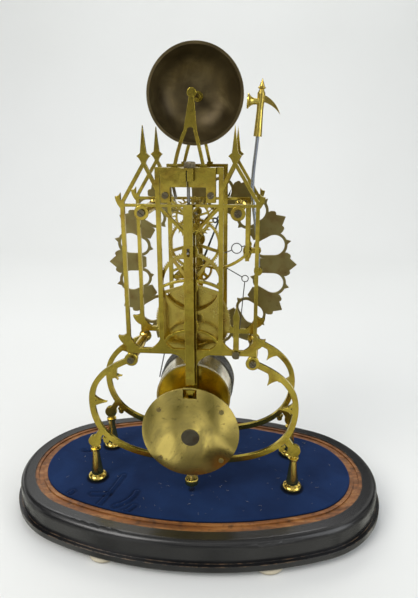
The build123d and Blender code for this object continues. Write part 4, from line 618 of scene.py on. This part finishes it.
def build_chain():
    mesh = bmesh.new()
    lay_r = DRUM_R + LINK_HIGH / 2 + 0.02
    count = 2 * round(math.pi * lay_r / CHAIN_PITCH)
    for lap in range(7):
        y = -15.0 + lap * (CHAIN_W + 0.35)
        for i in range(count):
            angle = 2 * math.pi * (i + 0.5 * lap) / count
            outward = Vector((math.sin(angle), 0, math.cos(angle)))
            along = Vector((math.cos(angle), 0, -math.sin(angle)))
            chain_link(mesh, i, Vector((0, y, BARREL_Z)) + outward * lay_r, along, outward)
    bmesh.ops.recalc_face_normals(mesh, faces=mesh.faces)
    add_piece("wound_chain", mesh, IRON, "barrel", "chain_coil")
    low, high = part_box("chain_run")
    start = Vector((high.x - 0.6 * MM, 0, low.z)) / MM
    end = Vector((low.x + 0.6 * MM, 0, high.z)) / MM
    y = (low.y + high.y) / 2 / MM
    start.y = end.y = y
    run = end - start
    along = run.normalized()
    outward = Vector((along.z, 0, -along.x))
    mesh = bmesh.new()
    links = int(run.length / CHAIN_PITCH)
    for i in range(links):
        chain_link(mesh, i, start + along * (i + 0.5) * run.length / links, along, outward)
    bmesh.ops.recalc_face_normals(mesh, faces=mesh.faces)
    add_piece("hanging_chain", mesh, IRON, "frame", "chain_run")


build_velvet()
build_lint()
build_feet()
build_knurled()
build_chain()


# ---------------------------------------------------------------- stage, light and camera
def stage_floor():
    """A pale seamless sweep: a flat floor that curves up into a wall on the dial's side."""
    mesh = bmesh.new()
    rows = []
    bend, depth, height, half, front = 0.6, 1.5, 3.0, 4.0, 4.0
    profile = [(front, 0.0), (-depth + bend, 0.0)]
    steps = 16
    for step in range(1, steps + 1):
        angle = math.pi / 2 * step / steps
        profile.append((-depth + bend - bend * math.sin(angle), bend - bend * math.cos(angle)))
    profile.append((-depth, height))
    for y, z in profile:
        rows.append([mesh.verts.new((x, y, z)) for x in (-half, half)])
    for a, b in zip(rows, rows[1:]):
        mesh.faces.new((a[0], a[1], b[1], b[0]))
    data = bpy.data.meshes.new("sweep")
    mesh.to_mesh(data)
    sweep = bpy.data.objects.new("sweep", data)
    bpy.context.scene.collection.objects.link(sweep)
    for polygon in data.polygons:
        polygon.use_smooth = True
    t = Tree("paper")
    base = t.ramp(t.noise(1.5, 2.0, 0.5), (0.3, (0.755, 0.762, 0.735)), (0.7, (0.79, 0.797, 0.775)))
    data.materials.append(t.finish(Base_Color=base, Roughness=0.9))
    sweep.visible_glossy = False


def area_light(name, place, target, size, power, colour=(1, 1, 1)):
    data = bpy.data.lights.new(name, "AREA")
    data.shape = "RECTANGLE"
    data.size, data.size_y = size
    data.energy = power
    data.color = colour
    lamp = bpy.data.objects.new(name, data)
    bpy.context.scene.collection.objects.link(lamp)
    lamp.location = place
    lamp.rotation_euler = (Vector(target) - Vector(place)).to_track_quat("-Z", "Y").to_euler()


def world_light():
    """Pale to the camera and on matt surfaces; metal sees a room with darker and lighter sides."""
    world = bpy.data.worlds.new("studio")
    bpy.context.scene.world = world
    world.use_nodes = True
    tree = world.node_tree
    tree.nodes.clear()
    output = tree.nodes.new("ShaderNodeOutputWorld")
    plain = tree.nodes.new("ShaderNodeBackground")
    plain.inputs["Color"].default_value = (0.93, 0.95, 1.0, 1)
    plain.inputs["Strength"].default_value = 0.62
    room = tree.nodes.new("ShaderNodeBackground")
    coords = tree.nodes.new("ShaderNodeTexCoord")
    bands = tree.nodes.new("ShaderNodeTexNoise")
    bands.inputs["Scale"].default_value = 3.2
    bands.inputs["Detail"].default_value = 1.0
    ramp = tree.nodes.new("ShaderNodeValToRGB")
    stops = ((0.42, (0.03, 0.028, 0.02)), (0.50, (0.26, 0.26, 0.22)), (0.57, (1.3, 1.3, 1.25)))
    ramp.color_ramp.elements.new(0.5)
    for element, (position, colour) in zip(ramp.color_ramp.elements, stops):
        element.position = position
        element.color = (*colour, 1)
    room.inputs["Strength"].default_value = 0.8
    sides = tree.nodes.new("ShaderNodeSeparateXYZ")
    below = tree.nodes.new("ShaderNodeValToRGB")
    below.color_ramp.elements[0].position = 0.36
    below.color_ramp.elements[0].color = (1, 1, 1, 1)
    below.color_ramp.elements[1].position = 0.47
    below.color_ramp.elements[1].color = (0, 0, 0, 1)
    level = tree.nodes.new("ShaderNodeMapRange")
    level.inputs["From Min"].default_value = -1.0
    patches = tree.nodes.new("ShaderNodeTexNoise")
    patches.inputs["Scale"].default_value = 7.0
    patches.inputs["Detail"].default_value = 0.0
    table = tree.nodes.new("ShaderNodeValToRGB")
    table.color_ramp.elements[0].position = 0.42
    table.color_ramp.elements[0].color = (0.16, 0.165, 0.13, 1)
    table.color_ramp.elements[1].position = 0.56
    table.color_ramp.elements[1].color = (1.15, 1.15, 1.05, 1)
    blend = tree.nodes.new("ShaderNodeMix")
    blend.data_type = "RGBA"
    path = tree.nodes.new("ShaderNodeLightPath")
    mix = tree.nodes.new("ShaderNodeMixShader")
    links = tree.links
    links.new(coords.outputs["Generated"], bands.inputs["Vector"])
    links.new(bands.outputs["Fac"], ramp.inputs["Fac"])
    links.new(coords.outputs["Generated"], sides.inputs[0])
    links.new(sides.outputs["Z"], level.inputs["Value"])
    links.new(level.outputs["Result"], below.inputs["Fac"])
    links.new(coords.outputs["Generated"], patches.inputs["Vector"])
    links.new(patches.outputs["Fac"], table.inputs["Fac"])
    links.new(below.outputs["Color"], blend.inputs[0])
    links.new(ramp.outputs["Color"], blend.inputs[6])
    links.new(table.outputs["Color"], blend.inputs[7])
    links.new(blend.outputs[2], room.inputs["Color"])
    links.new(path.outputs["Is Glossy Ray"], mix.inputs["Fac"])
    links.new(plain.outputs[0], mix.inputs[1])
    links.new(room.outputs[0], mix.inputs[2])
    links.new(mix.outputs[0], output.inputs["Surface"])


# The camera stands on the pendulum side, a little to the right and above, looking down.
CAMERA_PLACE = Vector((-0.0490, 0.3967, 0.3021))
CAMERA_YAW = 5.44
CAMERA_PITCH = 16.9
CAMERA_ROLL = 0.18
FOCAL_SHARE = 0.886
SENSOR = 36.0


def camera():
    data = bpy.data.cameras.new("camera")
    data.sensor_fit = "VERTICAL"
    data.sensor_height = SENSOR
    data.lens = SENSOR * FOCAL_SHARE
    data.clip_start = 0.01
    made = bpy.data.objects.new("camera", data)
    bpy.context.scene.collection.objects.link(made)
    made.location = CAMERA_PLACE
    yaw, pitch = math.radians(CAMERA_YAW), math.radians(CAMERA_PITCH)
    ahead = Vector((math.sin(yaw) * math.cos(pitch), -math.cos(yaw) * math.cos(pitch), -math.sin(pitch)))
    turn = ahead.to_track_quat("-Z", "Y").to_matrix() @ Matrix.Rotation(math.radians(-CAMERA_ROLL), 3, "Z")
    made.rotation_euler = turn.to_euler()
    bpy.context.scene.camera = made


bpy.context.scene.view_settings.view_transform = "Standard"
stage_floor()
world_light()
target = (0.0, 0.0, 0.18)
area_light("key", (0.9, 1.0, 1.3), target, (0.9, 0.9), 16.0, (1.0, 0.98, 0.95))
area_light("fill", (-1.2, 0.7, 0.8), target, (0.9, 1.2), 7.0, (0.94, 0.97, 1.0))
area_light("back", (0.2, -1.0, 1.5), target, (1.4, 0.6), 9.0)
camera()
